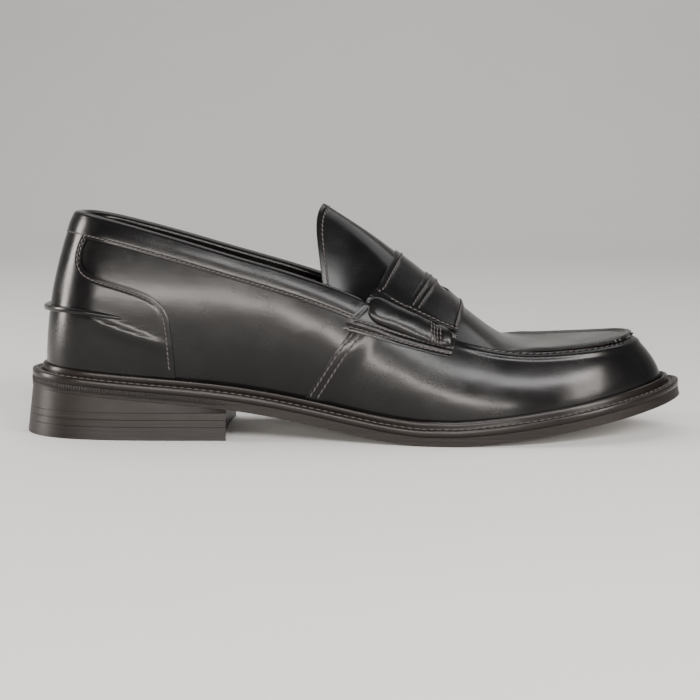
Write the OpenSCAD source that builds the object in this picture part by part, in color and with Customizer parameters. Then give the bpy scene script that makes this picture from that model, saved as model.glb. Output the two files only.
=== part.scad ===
/* [Overall] */
// Length of the sole from heel to toe
shoe_len = 303; // [240:1:370]
// Width of the sole at the ball of the foot
ball_w = 108; // [88:1:132]
// Width of the sole at the heel
heel_w = 70; // [58:1:86]
// Height of the back of the upper above the ground
back_h = 100; // [82:1:122]

/* [Heel and sole] */
// Height of the heel block at its back edge
heel_h = 22; // [17:0.5:30]
// Length of the heel block from back to breast
heel_len = 92; // [70:1:112]
// Thickness of the rubber top piece under the heel
top_piece_t = 6; // [4:0.5:7]
// Thickness of each stacked leather lift
lift_t = 3.2; // [2.5:0.1:3.9]
// Height of the toe above the ground
toe_spring = 16; // [10:0.5:22]
// Thickness of the leather outsole
outsole_t = 4.2; // [3:0.1:6]
// Thickness of the welt
welt_t = 3.2; // [2.2:0.1:4.4]
// How far the welt stands out past the upper
welt_reach = 7.6; // [5.5:0.1:9.6]
// Height of the raised rim of the welt above its flat
rim_h = 3.2; // [1.5:0.1:4.5]
// Thickness of the insole
insole_t = 3; // [2:0.1:4]

/* [Upper] */
// Thickness of the outer leather
leather_t = 1.8; // [1.2:0.1:2.4]
// Thickness of the lining leather
lining_t = 1.1; // [0.8:0.1:1.5]
// Thickness of the stiffeners between leather and lining
stiffener_t = 1; // [0.6:0.1:1.4]
// Thickness of the leather laid over the base upper
overlay_t = 1.3; // [0.9:0.1:1.8]
// Depth of the folded band along the topline
band_h = 9; // [6:0.5:11]
// How far the strip round the back of the heel stands out
ledge_out = 3; // [2:0.1:4.5]
// Height of the strip round the back of the heel
ledge_h = 2.6; // [1.8:0.1:4]

/* [Strap] */
// Length of the penny slot across the strap
slot_w = 24; // [16:1:30]
// Height of the penny slot at its middle
slot_h = 8; // [5:0.5:10]
// Thickness of the rolled strap ends
roll_t = 3.2; // [2:0.1:4.5]

/* [Thread and nails] */
// Diameter of the thread in the upper
thread_d = 0.8; // [0.5:0.1:1.2]
// Diameter of the thread in the welt
welt_thread_d = 1.2; // [0.8:0.1:1.8]
// Diameter of the heel nails
nail_d = 2; // [1.4:0.1:2.8]
// Number of heel nails
nail_count = 9; // [5:1:11]

/* [Hidden] */

// Clearance between pieces that lie on each other
gap = 0.1;
// Sizes of the base last that the rows below describe
base_len = 303;
base_ball_w = 108;
base_heel_w = 70;
base_back_h = 100;

// Rows round the base last, from the back of the heel (0) to the tip of the toe (16). Each row is
// [edge x, edge y outer, edge y inner, rim x, rim y outer, rim y inner, rim z, bulge low, bulge high,
// crown]: the sole edge, the line where the wall of the upper ends, how full the wall is, and how
// high the middle stands above that line.
ROWS = [
  [-2.2, 0, 0, 19.5, 0, 0, 100.6, 0.5, 8, 0],
  [2.5, -17.5, 17.5, 22, -12, 12, 100.6, 2, 8, 0],
  [16, -30, 30, 31, -21.5, 21.5, 99.4, 5.5, 7, 0],
  [38, -35, 34.5, 47, -26, 26.5, 95.3, 7.5, 5.5, 0],
  [65, -36, 35, 69, -28.5, 29, 89.2, 9, 4.5, 0],
  [92, -35.5, 32, 92, -30.5, 30.5, 82.2, 9.5, 4, 0],
  [118, -37, 31.5, 117, -32.5, 31.5, 75.2, 9, 4, 41],
  [142, -43, 36, 140, -34.5, 33, 68, 7.5, 5, 35.5],
  [165, -50.5, 45, 163, -37, 35.5, 58.5, 5, 6.5, 29.6],
  [188, -55.5, 51, 186, -38.5, 37, 48.5, 3, 7.5, 21.5],
  [210, -56, 52.5, 207, -38.5, 37, 42.4, 1.5, 7, 9.8],
  [232, -53, 51, 227, -36, 34.5, 39.6, 1.5, 6, -1.5],
  [253, -47, 46.5, 246, -32, 31.5, 40.3, 1.5, 6, 0.4],
  [273, -38, 39, 263, -25.5, 27.5, 41.5, 1, 6.5, 0.4],
  [290, -25.5, 28, 274.5, -16, 21, 42.9, 0.5, 7.5, 0.4],
  [300.5, -10, 15, 279.5, -5.5, 11.5, 43.9, 0.5, 8.5, 0.2],
  [303.2, 3, 3, 280.5, 3, 3, 44.2, 0.5, 9, 0]];
TIP = len(ROWS) - 1;
RING = 2 * TIP;

// Height of the underside of the outsole at every tenth of its length: as shares of the heel
// height up to the middle, and of the toe spring from the ball on
HEEL_SHARES = [1, 0.885, 0.77, 0.65, 0.425, 0.155, -0.06];
TOE_SHARES = [0.075, 0.305, 0.64, 1.04, 1.47];

// Last row under the heel, where the heel block ends at its breast
heel_x = heel_len;
// The origin lies under the middle of the heel block
origin_x = heel_len / 2 - 2;
// Share of the wall's height where the base of the strap ends on the side
strap_low_rear = 0.71;
strap_low_front = 0.78;

// Layers of the upper, measured outwards from the outer face of the base leather
stiff_top = -leather_t - gap;
stiff_low = stiff_top - stiffener_t;
lining_top = stiff_low - gap;
lining_low = lining_top - lining_t;

function mix(a, b, w) = a * (1 - w) + b * w;
function clamp(v, lo, hi) = min(hi, max(lo, v));
function ease(a, b, v) = let(w = clamp((v - a) / (b - a), 0, 1)) w * w * (3 - 2 * w);
function unit(v) = v / norm(v);
function fold(i) = let(m = (i % RING + RING) % RING) m <= TIP ? m : RING - m;
function is_inner(i) = ((i % RING + RING) % RING) > TIP;
function weights(f) = [pow(1 - f, 3), 3 * pow(f, 3) - 6 * f * f + 4,
  -3 * pow(f, 3) + 3 * f * f + 3 * f + 1, pow(f, 3)] / 6;

// Smooth value of a column at place q round the ring; the inner side may have its own column
function column(q, outer, inner) = let(i = floor(q), w = weights(q - i))
  w[0] * ROWS[fold(i - 1)][is_inner(i - 1) ? inner : outer]
  + w[1] * ROWS[fold(i)][is_inner(i) ? inner : outer]
  + w[2] * ROWS[fold(i + 1)][is_inner(i + 1) ? inner : outer]
  + w[3] * ROWS[fold(i + 2)][is_inner(i + 2) ? inner : outer];

len_grade = shoe_len / base_len;
function width_grade(q) = let(m = (q % RING + RING) % RING, k = m <= TIP ? m : RING - m)
  mix(heel_w / base_heel_w, ball_w / base_ball_w, ease(4, 9, k));
function height_grade(q) = back_h / base_back_h;

// Underside of the outsole
function seat_value(i) = i < 0 ? 2 * seat_value(0) - seat_value(-i)
  : i < len(HEEL_SHARES) ? HEEL_SHARES[i] * heel_h
  : TOE_SHARES[min(i - len(HEEL_SHARES), len(TOE_SHARES) - 1)] * toe_spring;
function sole_z(x) = let(u = 10 * x / shoe_len, i = floor(u), w = weights(u - i))
  max(0, w[0] * seat_value(i - 1) + w[1] * seat_value(i) + w[2] * seat_value(i + 1)
    + w[3] * seat_value(i + 2));
function deck_z(x) = sole_z(x) + outsole_t;

// Plan outline of the sole edge, moved inwards by inset
function edge(q) = [column(q, 0, 0) * len_grade, column(q, 1, 2) * width_grade(q)];
function outward(q) = let(d = unit(edge(q + 0.01) - edge(q - 0.01))) [d[1], -d[0]];
function inset_edge(q, inset) = edge(q) - outward(q) * inset;
// Line where the wall of the upper ends
function rim(q) = [column(q, 3, 3) * len_grade, column(q, 4, 5) * width_grade(q),
  column(q, 6, 6) * height_grade(q)];

// Point on the wall of the upper: t is 0 at the sole and 1 at the rim. Below 0 the leather turns
// in under the insole.
margin_w = 7;
function wall(q, t) = let(foot = inset_edge(q, welt_reach), n = outward(q), top = rim(q),
    low = deck_z(foot[0]) + gap, rise = top[2] - low, u = max(t, 0), s = 1 - u,
    a = [foot[0], foot[1], low],
    fullness = height_grade(q),
    turn = min(t, 0) * margin_w * n,
    b = a + [n[0], n[1], 0] * column(q, 7, 7) * fullness + [0, 0, 0.36 * rise],
    c = top + [n[0], n[1], 0] * column(q, 8, 8) * fullness - [0, 0, 0.28 * rise])
  pow(s, 3) * a + 3 * u * s * s * b + 3 * u * u * s * c + pow(u, 3) * top
    + [turn[0], turn[1], deck_z(foot[0] + turn[0]) - deck_z(foot[0])];
// Point on the top of the shoe: k runs along it and v across it, from -1 to 1
crown_power = 2.1;
function middle(k, v) = mix(rim(k), rim(RING - k), (v + 1) / 2)
  + [0, 0, column(k, 9, 9) * height_grade(k) * (1 - pow(abs(v), crown_power))];
// Point on the tongue, which dives inside the topline
tongue_narrow = 0.19;
tongue_dive = 13;
function tongue_pt(k, v) = let(w = 1 - ease(7.1, 8.5, k), a = rim(k), b = rim(RING - k),
    drop = tongue_dive * w)
  mix(a, b, (v * (1 - tongue_narrow * w) + 1) / 2)
    + [0, 0, (column(k, 9, 9) * height_grade(k) + drop) * (1 - pow(abs(v), crown_power)) - drop];
// Whole girth at k: g from 0 to 1 on the outer wall, 1 to 3 over the top, 3 to 4 down the inner wall
function girth(k, g) = g <= 1 ? wall(k, g) : g <= 3 ? middle(k, g - 2) : wall(RING - k, 4 - g);

// Normals by small steps along each surface
step = 0.02;
function lift_off(p, du, dv, d) = p + unit(cross(du, dv)) * d;
function wall_at(q, t, d) = lift_off(wall(q, t), wall(q + step, t) - wall(q - step, t),
  wall(q, t + step) - wall(q, t - step), d);
function middle_at(k, v, d) = lift_off(middle(k, v), middle(k + step, v) - middle(k - step, v),
  middle(k, v + step) - middle(k, v - step), d);
function tongue_at(k, v, d) = lift_off(tongue_pt(k, v), tongue_pt(k + step, v)
  - tongue_pt(k - step, v), tongue_pt(k, v + step) - tongue_pt(k, v - step), d);
function girth_at(k, g, d) = lift_off(girth(k, g), girth(k + step, g) - girth(k - step, g),
  girth(k, g + step) - girth(k, g - step), d);

function count_to(n) = [for (i = [0 : n]) i / n];

// Closed shell between an outer and an inner grid of points
module shell(outer, inner) {
  rows = len(outer);
  cols = len(outer[0]);
  half = rows * cols;
  function at(i, j) = i * cols + j;
  faces = [
    for (i = [0 : rows - 2], j = [0 : cols - 2]) each [
      [at(i, j), at(i + 1, j + 1), at(i + 1, j)],
      [at(i, j), at(i, j + 1), at(i + 1, j + 1)],
      [half + at(i, j), half + at(i + 1, j), half + at(i + 1, j + 1)],
      [half + at(i, j), half + at(i + 1, j + 1), half + at(i, j + 1)]],
    for (i = [0 : rows - 2]) each [
      [at(i, 0), at(i + 1, 0), half + at(i + 1, 0)],
      [at(i, 0), half + at(i + 1, 0), half + at(i, 0)],
      [at(i, cols - 1), half + at(i + 1, cols - 1), at(i + 1, cols - 1)],
      [at(i, cols - 1), half + at(i, cols - 1), half + at(i + 1, cols - 1)]],
    for (j = [0 : cols - 2]) each [
      [at(0, j), half + at(0, j + 1), at(0, j + 1)],
      [at(0, j), half + at(0, j), half + at(0, j + 1)],
      [at(rows - 1, j), at(rows - 1, j + 1), half + at(rows - 1, j + 1)],
      [at(rows - 1, j), half + at(rows - 1, j + 1), half + at(rows - 1, j)]]];
  polyhedron([for (r = outer) each r, for (r = inner) each r], faces);
}

// Solid between stacked loops that each start at the back and run round, the lowest first
module stack(loops) {
  n = len(loops[0]);
  h = n / 2;
  top = (len(loops) - 1) * n;
  faces = [
    for (k = [0 : len(loops) - 2], i = [0 : n - 1]) each let(j = (i + 1) % n) [
      [k * n + i, (k + 1) * n + j, k * n + j],
      [k * n + i, (k + 1) * n + i, (k + 1) * n + j]],
    [0, 1, n - 1],
    [top, top + n - 1, top + 1],
    for (i = [1 : h - 2]) each [
      [i, i + 1, n - i - 1],
      [i, n - i - 1, n - i],
      [top + i, top + n - i - 1, top + i + 1],
      [top + i, top + n - i, top + n - i - 1]],
    [h - 1, h, h + 1],
    [top + h - 1, top + h + 1, top + h]];
  polyhedron([for (l = loops) each l], faces);
}

// Closed section carried along a row of stations; closed = true joins the last to the first
module sweep(sections, closed = false) {
  n = len(sections);
  m = len(sections[0]);
  last = closed ? n - 1 : n - 2;
  sides = [for (i = [0 : last], j = [0 : m - 1]) each
    let(a = i * m, b = ((i + 1) % n) * m, k = (j + 1) % m)
      [[a + j, b + k, b + j], [a + j, a + k, b + k]]];
  ends = closed ? [] : [
    for (j = [1 : m - 2]) [0, j + 1, j],
    for (j = [1 : m - 2]) let(b = (n - 1) * m) [b, b + j, b + j + 1]];
  polyhedron([for (s = sections) each s], concat(sides, ends));
}

// Thin thread laid along points that each carry their own outward direction
module thread(path, d) {
  n = len(path);
  sweep([for (i = [0 : n - 1])
    let(t = unit(path[min(i + 1, n - 1)][0] - path[max(i - 1, 0)][0]),
        up = path[i][1], side = unit(cross(t, up)))
      [for (c = [[-1, 0], [0, -1], [1, 0], [0, 1]]) path[i][0] + (side * c[0] + up * c[1]) * d / 2]]);
}
// A point of a thread on the wall or the girth, with its outward direction
function on_wall(q, t, d) = [wall_at(q, t, d), unit(wall_at(q, t, d + 1) - wall_at(q, t, d))];
function on_girth(k, g, d) = [girth_at(k, g, d), unit(girth_at(k, g, d + 1) - girth_at(k, g, d))];

// Loops for the flat pieces of the bottom
ring_n = 72;
function ring_q(i) = RING * i / ring_n;
function flat_loop(inset, z_add) = [for (i = [0 : ring_n - 1])
  let(p = inset_edge(ring_q(i), inset)) [p[0], p[1], deck_z(p[0]) + z_add]];

// Place round the ring where the sole edge reaches the breast of the heel
function find_q(x, lo = 0, hi = 9, n = 24) = n == 0 ? (lo + hi) / 2
  : let(m = (lo + hi) / 2) edge(m)[0] < x ? find_q(x, m, hi, n - 1) : find_q(x, lo, m, n - 1);
breast_q = find_q(heel_x);
heel_n = 14;
breast_hollow = 2;
// Outline of the heel block at an inset; its breast is slightly hollow
function heel_outline(inset) = [
  for (i = [0 : heel_n]) inset_edge(breast_q * i / heel_n, inset),
  let(a = inset_edge(breast_q, inset), b = inset_edge(RING - breast_q, inset))
    (a + b) / 2 - [breast_hollow, 0],
  for (i = [heel_n : -1 : 1]) inset_edge(RING - breast_q * i / heel_n, inset)];
heel_flare = 2.6;
// The block is flush with the sole at the top and stands out a little at the ground
function heel_inset(z) = -heel_flare * (1 - z / heel_h);
// Every layer keeps below the sloping sole, and leaves the wedge a thin edge at the breast
wedge_edge = 0.3;
function layer_z(x, z, layers_above) = min(z, sole_z(x) - gap - layers_above * (gap + wedge_edge));
module heel_slab(z_low, z_high, layers_above) {
  stack([[for (p = heel_outline(heel_inset(z_low))) [p[0], p[1], z_low]],
    [for (p = heel_outline(heel_inset(z_high))) [p[0], p[1], layer_z(p[0], z_high, layers_above)]]]);
}

nail_ring_inset = 11;
nail_head_depth = 1;
nail_grip = 1;
nail_top = top_piece_t + 2 * lift_t + nail_grip;
function nail_at(i) = let(w = 2 * i / (nail_count - 1) - 1, q = w * breast_q * 0.82)
  inset_edge(q, nail_ring_inset);
module nail_holes(extra) {
  for (i = [0 : nail_count - 1]) {
    top = layer_z(nail_at(i)[0] + nail_d / 2, nail_top, 0);
    translate([nail_at(i)[0], nail_at(i)[1], nail_head_depth])
      cylinder(d = nail_d + extra, h = top - nail_head_depth, $fn = 24);
  }
}

module placed() {
  translate([-origin_x, 0, 0]) children();
}

module heel_top_piece() {
  color("#2b2927") placed() difference() {
    heel_slab(0, top_piece_t, 3);
    nail_holes(2 * gap);
  }
}
module heel_lift_lower() {
  color("#3a2c24") placed() difference() {
    heel_slab(top_piece_t + gap, top_piece_t + lift_t, 2);
    nail_holes(2 * gap);
  }
}
module heel_lift_upper() {
  color("#40312a") placed() difference() {
    heel_slab(top_piece_t + lift_t + gap, top_piece_t + 2 * lift_t, 1);
    nail_holes(2 * gap);
  }
}
wedge_low = top_piece_t + 2 * lift_t + gap;
// Wedge that fills up to the sloping underside of the outsole
module heel_seat_wedge() {
  low = heel_outline(heel_inset(wedge_low));
  high = heel_outline(heel_inset(heel_h));
  color("#46362c") placed() difference() {
    stack([[for (p = low) [p[0], p[1], min(wedge_low, sole_z(p[0]) - gap - wedge_edge)]],
      [for (p = high) [p[0], p[1], sole_z(p[0]) - gap]]]);
    nail_holes(2 * gap);
  }
}
module heel_nails() {
  color("#8f7a4d") placed() nail_holes(0);
}
module outsole() {
  round_off = 0.8;
  color("#2c2420") placed() stack([
    flat_loop(round_off, -outsole_t),
    flat_loop(0, round_off - outsole_t),
    flat_loop(0, -gap)]);
}

// Section of the welt: flat that the stitches lie in, and the raised rim against the upper
rim_w = 2;
rim_clear = 0.5;
welt_in = 0.35;
welt_section = [[welt_reach, 0.1], [welt_reach, welt_t - 0.5], [welt_reach - 0.6, welt_t],
  [rim_w + rim_clear + 0.8, welt_t], [rim_w + rim_clear, welt_t + 0.7],
  [rim_w + rim_clear - 0.2, welt_t + rim_h - 0.6], [rim_w, welt_t + rim_h],
  [rim_clear + 0.5, welt_t + rim_h - 0.5], [welt_in, welt_t], [welt_in, 0.1]];
welt_n = 80;
module welt() {
  color("#1d1b1a") placed() sweep([for (i = [0 : welt_n - 1])
    let(q = RING * i / welt_n)
      [for (s = welt_section) let(lean = s[0] < rim_w + rim_clear ? wall_push(q, s[1]) : 0,
          p = inset_edge(q, welt_reach - s[0] - lean))
        [p[0], p[1], deck_z(p[0]) + s[1]]]],
    closed = true);
}
// How far the wall has swelled past its foot at a height above the deck
function wall_push(q, z) = let(foot = inset_edge(q, welt_reach), n = outward(q),
    p = wall(q, z / (rim(q)[2] - deck_z(foot[0]))))
  max(0, (p[0] - foot[0]) * n[0] + (p[1] - foot[1]) * n[1]);

stitch_inset = 3.4;
module welt_stitching() {
  n = 96;
  color("#8b8680") placed() sweep([for (i = [0 : n - 1])
    let(q = RING * i / n, p = inset_edge(q, stitch_inset), o = outward(q),
        z = deck_z(p[0]) + welt_t + 2 * gap + welt_thread_d / 2)
      [for (c = [[-1, 0], [0, 1], [1, 0], [0, -1]])
        [p[0] + o[0] * c[0] * welt_thread_d / 2, p[1] + o[1] * c[0] * welt_thread_d / 2,
          z - c[1] * welt_thread_d / 2]]], closed = true);
}

// The bottom under the foot: turned-in leather, rib, filler, shank, insole and sock
margin_h = leather_t + 0.3;
rib_out = welt_reach + margin_w + 0.6;
rib_w = 2.2;
cork_side_in = 0.38;
cork_end_in = 0.06;
insole_low = margin_h + 0.2;
insole_clear = 1.4;
insole_in = welt_reach - lining_low + insole_clear;
sock_t = 1;
sock_in = insole_in + 0.6;
module inseam_thread() {
  n = 60;
  color("#b9ad97") placed() sweep([for (i = [0 : n - 1])
    let(q = RING * i / n, p = inset_edge(q, rib_out - 0.3), o = outward(q),
        z = deck_z(p[0]) + margin_h / 2)
      [for (c = [[-1, 0], [0, 1], [1, 0], [0, -1]])
        [p[0] + o[0] * c[0] * 0.2, p[1] + o[1] * c[0] * 0.2, z - c[1] * 0.5]]], closed = true);
}
module insole() {
  color("#b08a63") placed() stack([flat_loop(insole_in, insole_low),
    flat_loop(insole_in, insole_low + insole_t)]);
}
module insole_rib() {
  n = 72;
  color("#cfc3ab") placed() sweep([for (i = [0 : n - 1])
    let(q = RING * i / n, a = inset_edge(q, rib_out), b = inset_edge(q, rib_out + rib_w))
      [[a[0], a[1], deck_z(a[0]) + 0.2], [a[0], a[1], deck_z(a[0]) + insole_low - gap],
        [b[0], b[1], deck_z(b[0]) + insole_low - gap], [b[0], b[1], deck_z(b[0]) + 0.2]]],
    closed = true);
}
shank_t = 1;
shank_w = 13;
shank_from = 0.2;
shank_to = 0.54;
shank_rows = 14;
// Steel strip that follows the waist of the sole
function shank_rowpts(side_add, z_low, z_high) = [for (u = count_to(shank_rows))
  let(x = mix(shank_from, shank_to, u) * shoe_len + side_add * (2 * u - 1), c = -1.5,
      hw = shank_w / 2 + side_add)
    [[x, c - hw, deck_z(x) + z_low], [x, c - hw, deck_z(x) + z_high],
      [x, c + hw, deck_z(x) + z_high], [x, c + hw, deck_z(x) + z_low]]];
shank_low = insole_low - gap - shank_t;
module shank() {
  color("#9a9ca0") placed()
    sweep(shank_rowpts(0, shank_low, shank_low + shank_t));
}
// The filler lies well inside the rib: drawn in by a share towards the middle of the sole
function cork_loop(z_add) = [for (i = [0 : ring_n - 1])
  let(q = ring_q(i), p = inset_edge(q, rib_out * 0.66), m = inset_edge(RING - q, rib_out * 0.66),
      x = mix(p[0], shoe_len / 2, cork_end_in))
    [x, mix(p[1], (p[1] + m[1]) / 2, cork_side_in), deck_z(x) + z_add]];
module cork_filler() {
  color("#a9855a") placed() difference() {
    stack([cork_loop(0.1), cork_loop(insole_low - gap)]);
    sweep(shank_rowpts(0.3, shank_low - gap, insole_low + 1));
  }
}
module sock_liner() {
  color("#8a4f33") placed() stack([flat_loop(sock_in, insole_low + insole_t + gap),
    flat_loop(sock_in, insole_low + insole_t + gap + sock_t)]);
}

// Seam between quarter and vamp: it slants forward as it rises
seam_low_q = 6.2;
seam_high_q = 7.85;
function seam_q(t) = mix(seam_low_q, seam_high_q, clamp(t, -0.1, 1));
seam_gap = 0.012;
T_COLS = [-0.9, -0.15, 0, 0.06, 0.14, 0.26, 0.4, 0.55, 0.7, 0.84, 0.93, 1];
quarter_rows = 24;
back_seam_q = 0.012;
function quarter_grid(d) = [for (u = count_to(quarter_rows)) [for (t = T_COLS)
  wall_at(mix(back_seam_q, seam_q(t) - seam_gap, pow(u, 1.12)), t, d)]];
// The inner quarter has its rows the other way round
function quarter_grid_inner(d) = [for (u = count_to(quarter_rows)) [for (t = T_COLS)
  wall_at(RING - mix(seam_q(t) - seam_gap, back_seam_q, 1 - pow(1 - u, 1.12)), t, d)]];
module quarter_lateral() {
  color("#1b1a1b") placed() shell(quarter_grid(0), quarter_grid(-leather_t));
}
module quarter_medial() {
  color("#1b1a1b") placed() shell(quarter_grid_inner(0), quarter_grid_inner(-leather_t));
}
vamp_rows = 52;
function vamp_grid(d) = [for (u = count_to(vamp_rows)) [for (t = T_COLS)
  wall_at(mix(seam_q(t) + seam_gap, RING - seam_q(t) - seam_gap, u), t, d)]];
module vamp_wall() {
  color("#1d1c1d") placed() shell(vamp_grid(0), vamp_grid(-leather_t));
}

// Raised plug on the top of the toe: it comes up from under the strap and laps over the vamp wall
apron_from = 9.05;
apron_to = 15.86;
apron_rows = 26;
apron_lap = leather_t + gap;
lip_rise = 0.9;
function across(n) = [for (u = count_to(n)) sin(90 * (2 * u - 1))];
function apron_d(k) = mix(0, apron_lap, ease(9.75, 10.5, k));
// Where it doesn't lap over the vamp wall, its sides keep clear of the wall's top edge
function apron_reach(k) = mix(0.95, 1, ease(9.75, 10.5, k));
function lip(k, v) = lip_rise * ease(9.8, 10.6, k) * ease(TIP, TIP - 1.2, k)
  * ease(0.8, 0.93, abs(v));
module apron() {
  cols = across(14);
  color("#1b1a1b") placed() shell(
    [for (u = count_to(apron_rows)) [for (v = cols) let(k = mix(apron_from, apron_to, u))
      middle_at(k, v * apron_reach(k), apron_d(k) + lip(k, v))]],
    [for (u = count_to(apron_rows)) [for (v = cols) let(k = mix(apron_from, apron_to, u))
      middle_at(k, v * apron_reach(k), apron_d(k) - leather_t)]]);
}
tongue_to = 9;
tongue_rows = 13;
tongue_reach = 0.985;
// Back edge of the tongue, pulled in at the middle of each side
function tongue_edge(v) = 6.75 + 0.07 * cos(360 * v);
function tongue_grid(d, inset) = [for (u = count_to(tongue_rows)) [for (v = across(12) * tongue_reach)
  tongue_at(mix(tongue_edge(v) + inset, tongue_to - inset, u), v * (1 - inset), d)]];
module tongue() {
  color("#1b1a1b") placed() shell(tongue_grid(0, 0), tongue_grid(-leather_t, 0));
}
module tongue_lining() {
  top = -leather_t - 4 * gap;
  color("#7d4a31") placed() shell(tongue_grid(top, 0.06), tongue_grid(top - lining_t, 0.06));
}

// Front edge of the back counter, as [place round the ring, share of the wall's height]
COUNTER_EDGE = [[1.86, 0.93], [1.8, 0.86], [1.8, 0.77], [1.88, 0.69], [2.2, 0.635], [2.9, 0.62],
  [3.55, 0.61], [3.95, 0.55], [4.06, 0.4], [4.12, 0.25], [4.16, 0.1], [4.18, -0.05]];
// The counter stays this far under the band of the topline and above the rim of the welt
counter_room = 0.6;
function counter_share(q, t) = let(tall = rim(q)[2] - deck_z(rim(q)[0]))
  clamp(t, (welt_t + rim_h + counter_room) / tall, 1 - (band_h + counter_room) / tall);
function edge_at(u, inset) = let(n = len(COUNTER_EDGE) - 3, i = min(floor(u * n), n - 1),
    w = weights(u * n - i), p = w[0] * COUNTER_EDGE[i] + w[1] * COUNTER_EDGE[i + 1]
      + w[2] * COUNTER_EDGE[i + 2] + w[3] * COUNTER_EDGE[i + 3])
  [p[0] - inset, counter_share(p[0], p[1]) - inset * 0.15];
counter_rows = 24;
// Rows run from the inner edge round the back to the outer edge
function counter_grid(d) = [for (u = count_to(counter_rows)) [for (w = count_to(13))
  let(e = edge_at(1 - w, 0)) wall_at(RING + e[0] * (2 * u - 1), e[1], d)]];
module counter_overlay() {
  color("#1a191a") placed() shell(counter_grid(gap + overlay_t), counter_grid(gap));
}
ledge_q = 3.1;
ledge_t = 0.405;
ledge_rows = 30;
// Thin strip that stands out round the back of the heel and dies away along the sides
module heel_ledge_strip() {
  color("#161516") placed() sweep([for (u = count_to(ledge_rows))
    let(q = RING + ledge_q * (2 * u - 1), fade = sqrt(max(1 - pow(2 * u - 1, 6), 0.02)),
        low = gap * 2 + overlay_t, out = ledge_out * fade, h = ledge_h / 2 * fade,
        tm = ledge_t + 0.02 * pow(2 * u - 1, 2), p = wall_at(q, tm, low),
        n = unit(wall_at(q, tm, low + 1) - p))
      [p - [0, 0, h], p + n * (out * 0.8) - [0, 0, h * 0.8], p + n * out,
        p + n * (out * 0.8) + [0, 0, h * 0.8], p + [0, 0, h]]]);
}

// Folded band that wraps the topline from one strap end round the back to the other
band_t = 0.8;
band_q = 7.7;
band_rows = 40;
band_in = -lining_low + gap;
function band_pt(q, out, down, up) = let(t = 1 - down * band_h / (rim(q)[2] - deck_z(rim(q)[0])),
    p = wall_at(q, t, out)) p + [0, 0, up];
module topline_binding() {
  function grid(add) = [for (u = count_to(band_rows)) let(q = RING + band_q * (2 * u - 1)) [
    band_pt(q, gap + add, 1, 0), band_pt(q, gap + add, 0.12, 0), band_pt(q, 0.3 * add, 0, 0.2 + add),
    band_pt(q, -band_in / 2, 0, 0.2 + 1.5 * add), band_pt(q, -band_in - 0.3 * add, 0, 0.2 + add),
    band_pt(q, -band_in - add, 0.12, 0), band_pt(q, -band_in - add, 1, 0)]];
  color("#1c1b1c") placed() shell(grid(band_t), grid(0));
}

// Strap over the instep: rear edge and front edge along the girth
function strap_rear(g) = let(s = abs(g - 2)) s < 0.82 ? 8.4 - 0.49 * s * s / 0.67
  : mix(7.91, 7.2, clamp((s - 0.82) / 0.47, 0, 1));
function strap_front(g) = let(s = abs(g - 2)) 9.7 - 0.25 * s * s;
strap_side = 2 - strap_low_rear;
// The strap rises over the end of the topline band
band_share = 1 - band_h / (rim(band_q)[2] - deck_z(rim(band_q)[0]));
function over_band(k, g) = let(side = 2 - abs(g - 2))
  (band_t + gap) * ease(band_q + 0.5, band_q + 0.15, k) * ease(band_share - 0.13, band_share, side)
    * ease(1.3, 1.14, side);
strap_base_cols = 30;
strap_w_rows = 7;
function strap_grid(d, reach, rear_add, front_add) = [for (w = count_to(strap_w_rows))
  [for (u = count_to(strap_base_cols)) let(s = (2 * u - 1) * reach,
      sag = (strap_low_front - strap_low_rear) * w * ease(0.8, 1.29, abs(s)) * sign(s),
      g = 2 + s - sag)
    let(k = mix(strap_rear(g) + rear_add, strap_front(g) - front_add, w))
      girth_at(k, g, d + over_band(k, g))]];
module strap_base() {
  color("#1b1a1b") placed() shell(strap_grid(gap + overlay_t, strap_side, 0, 0),
    strap_grid(gap, strap_side, 0, 0));
}
overlay_rear_add = 0.42;
overlay_reach = 0.97;
slot_k = 9.22;
overlay_low = 2 * gap + overlay_t;
// Eye-shaped opening of the penny slot
module slot_cutter() {
  c = girth(slot_k, 2);
  n = unit(girth_at(slot_k, 2, 1) - c);
  lens_r = (slot_w * slot_w / 4 + slot_h * slot_h / 4) / slot_h;
  translate(c) rotate([0, acos(n[2]), 0]) intersection() {
    translate([lens_r - slot_h / 2, 0, -1]) cylinder(r = lens_r, h = 12, $fn = 96);
    translate([slot_h / 2 - lens_r, 0, -1]) cylinder(r = lens_r, h = 12, $fn = 96);
  }
}
module strap_overlay() {
  color("#1d1c1d") placed() difference() {
    shell(strap_grid(overlay_low + overlay_t, overlay_reach, overlay_rear_add, 0.05),
      strap_grid(overlay_low, overlay_reach, overlay_rear_add, 0.05));
    slot_cutter();
  }
}
roll_rows = 16;
roll_from = 7.62;
roll_to = 9.36;
roll_low_t = 0.855;
roll_high_t = 0.985;
// Turned-over end of the strap, rounded outwards
function roll_section(k, w, inner) = [for (a = [0 : 45 : 315])
  let(t = mix(roll_low_t, roll_high_t, 0.5 + 0.5 * w * sin(a)),
      d = overlay_low + over_band(k, t) + roll_t * (0.5 + 0.5 * w * cos(a)))
    wall_at(inner ? RING - k : k, t, d)];
module strap_roll(inner) {
  sweep([for (u = count_to(roll_rows))
    let(s = roll_section(mix(roll_from, roll_to, u), sqrt(max(1 - pow(2 * u - 1, 8), 0.05)), inner))
      inner ? [for (i = [len(s) - 1 : -1 : 0]) s[i]] : s]);
}
module strap_roll_lateral() {
  color("#242223") placed() strap_roll(false);
}
module strap_roll_medial() {
  color("#242223") placed() strap_roll(true);
}

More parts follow.
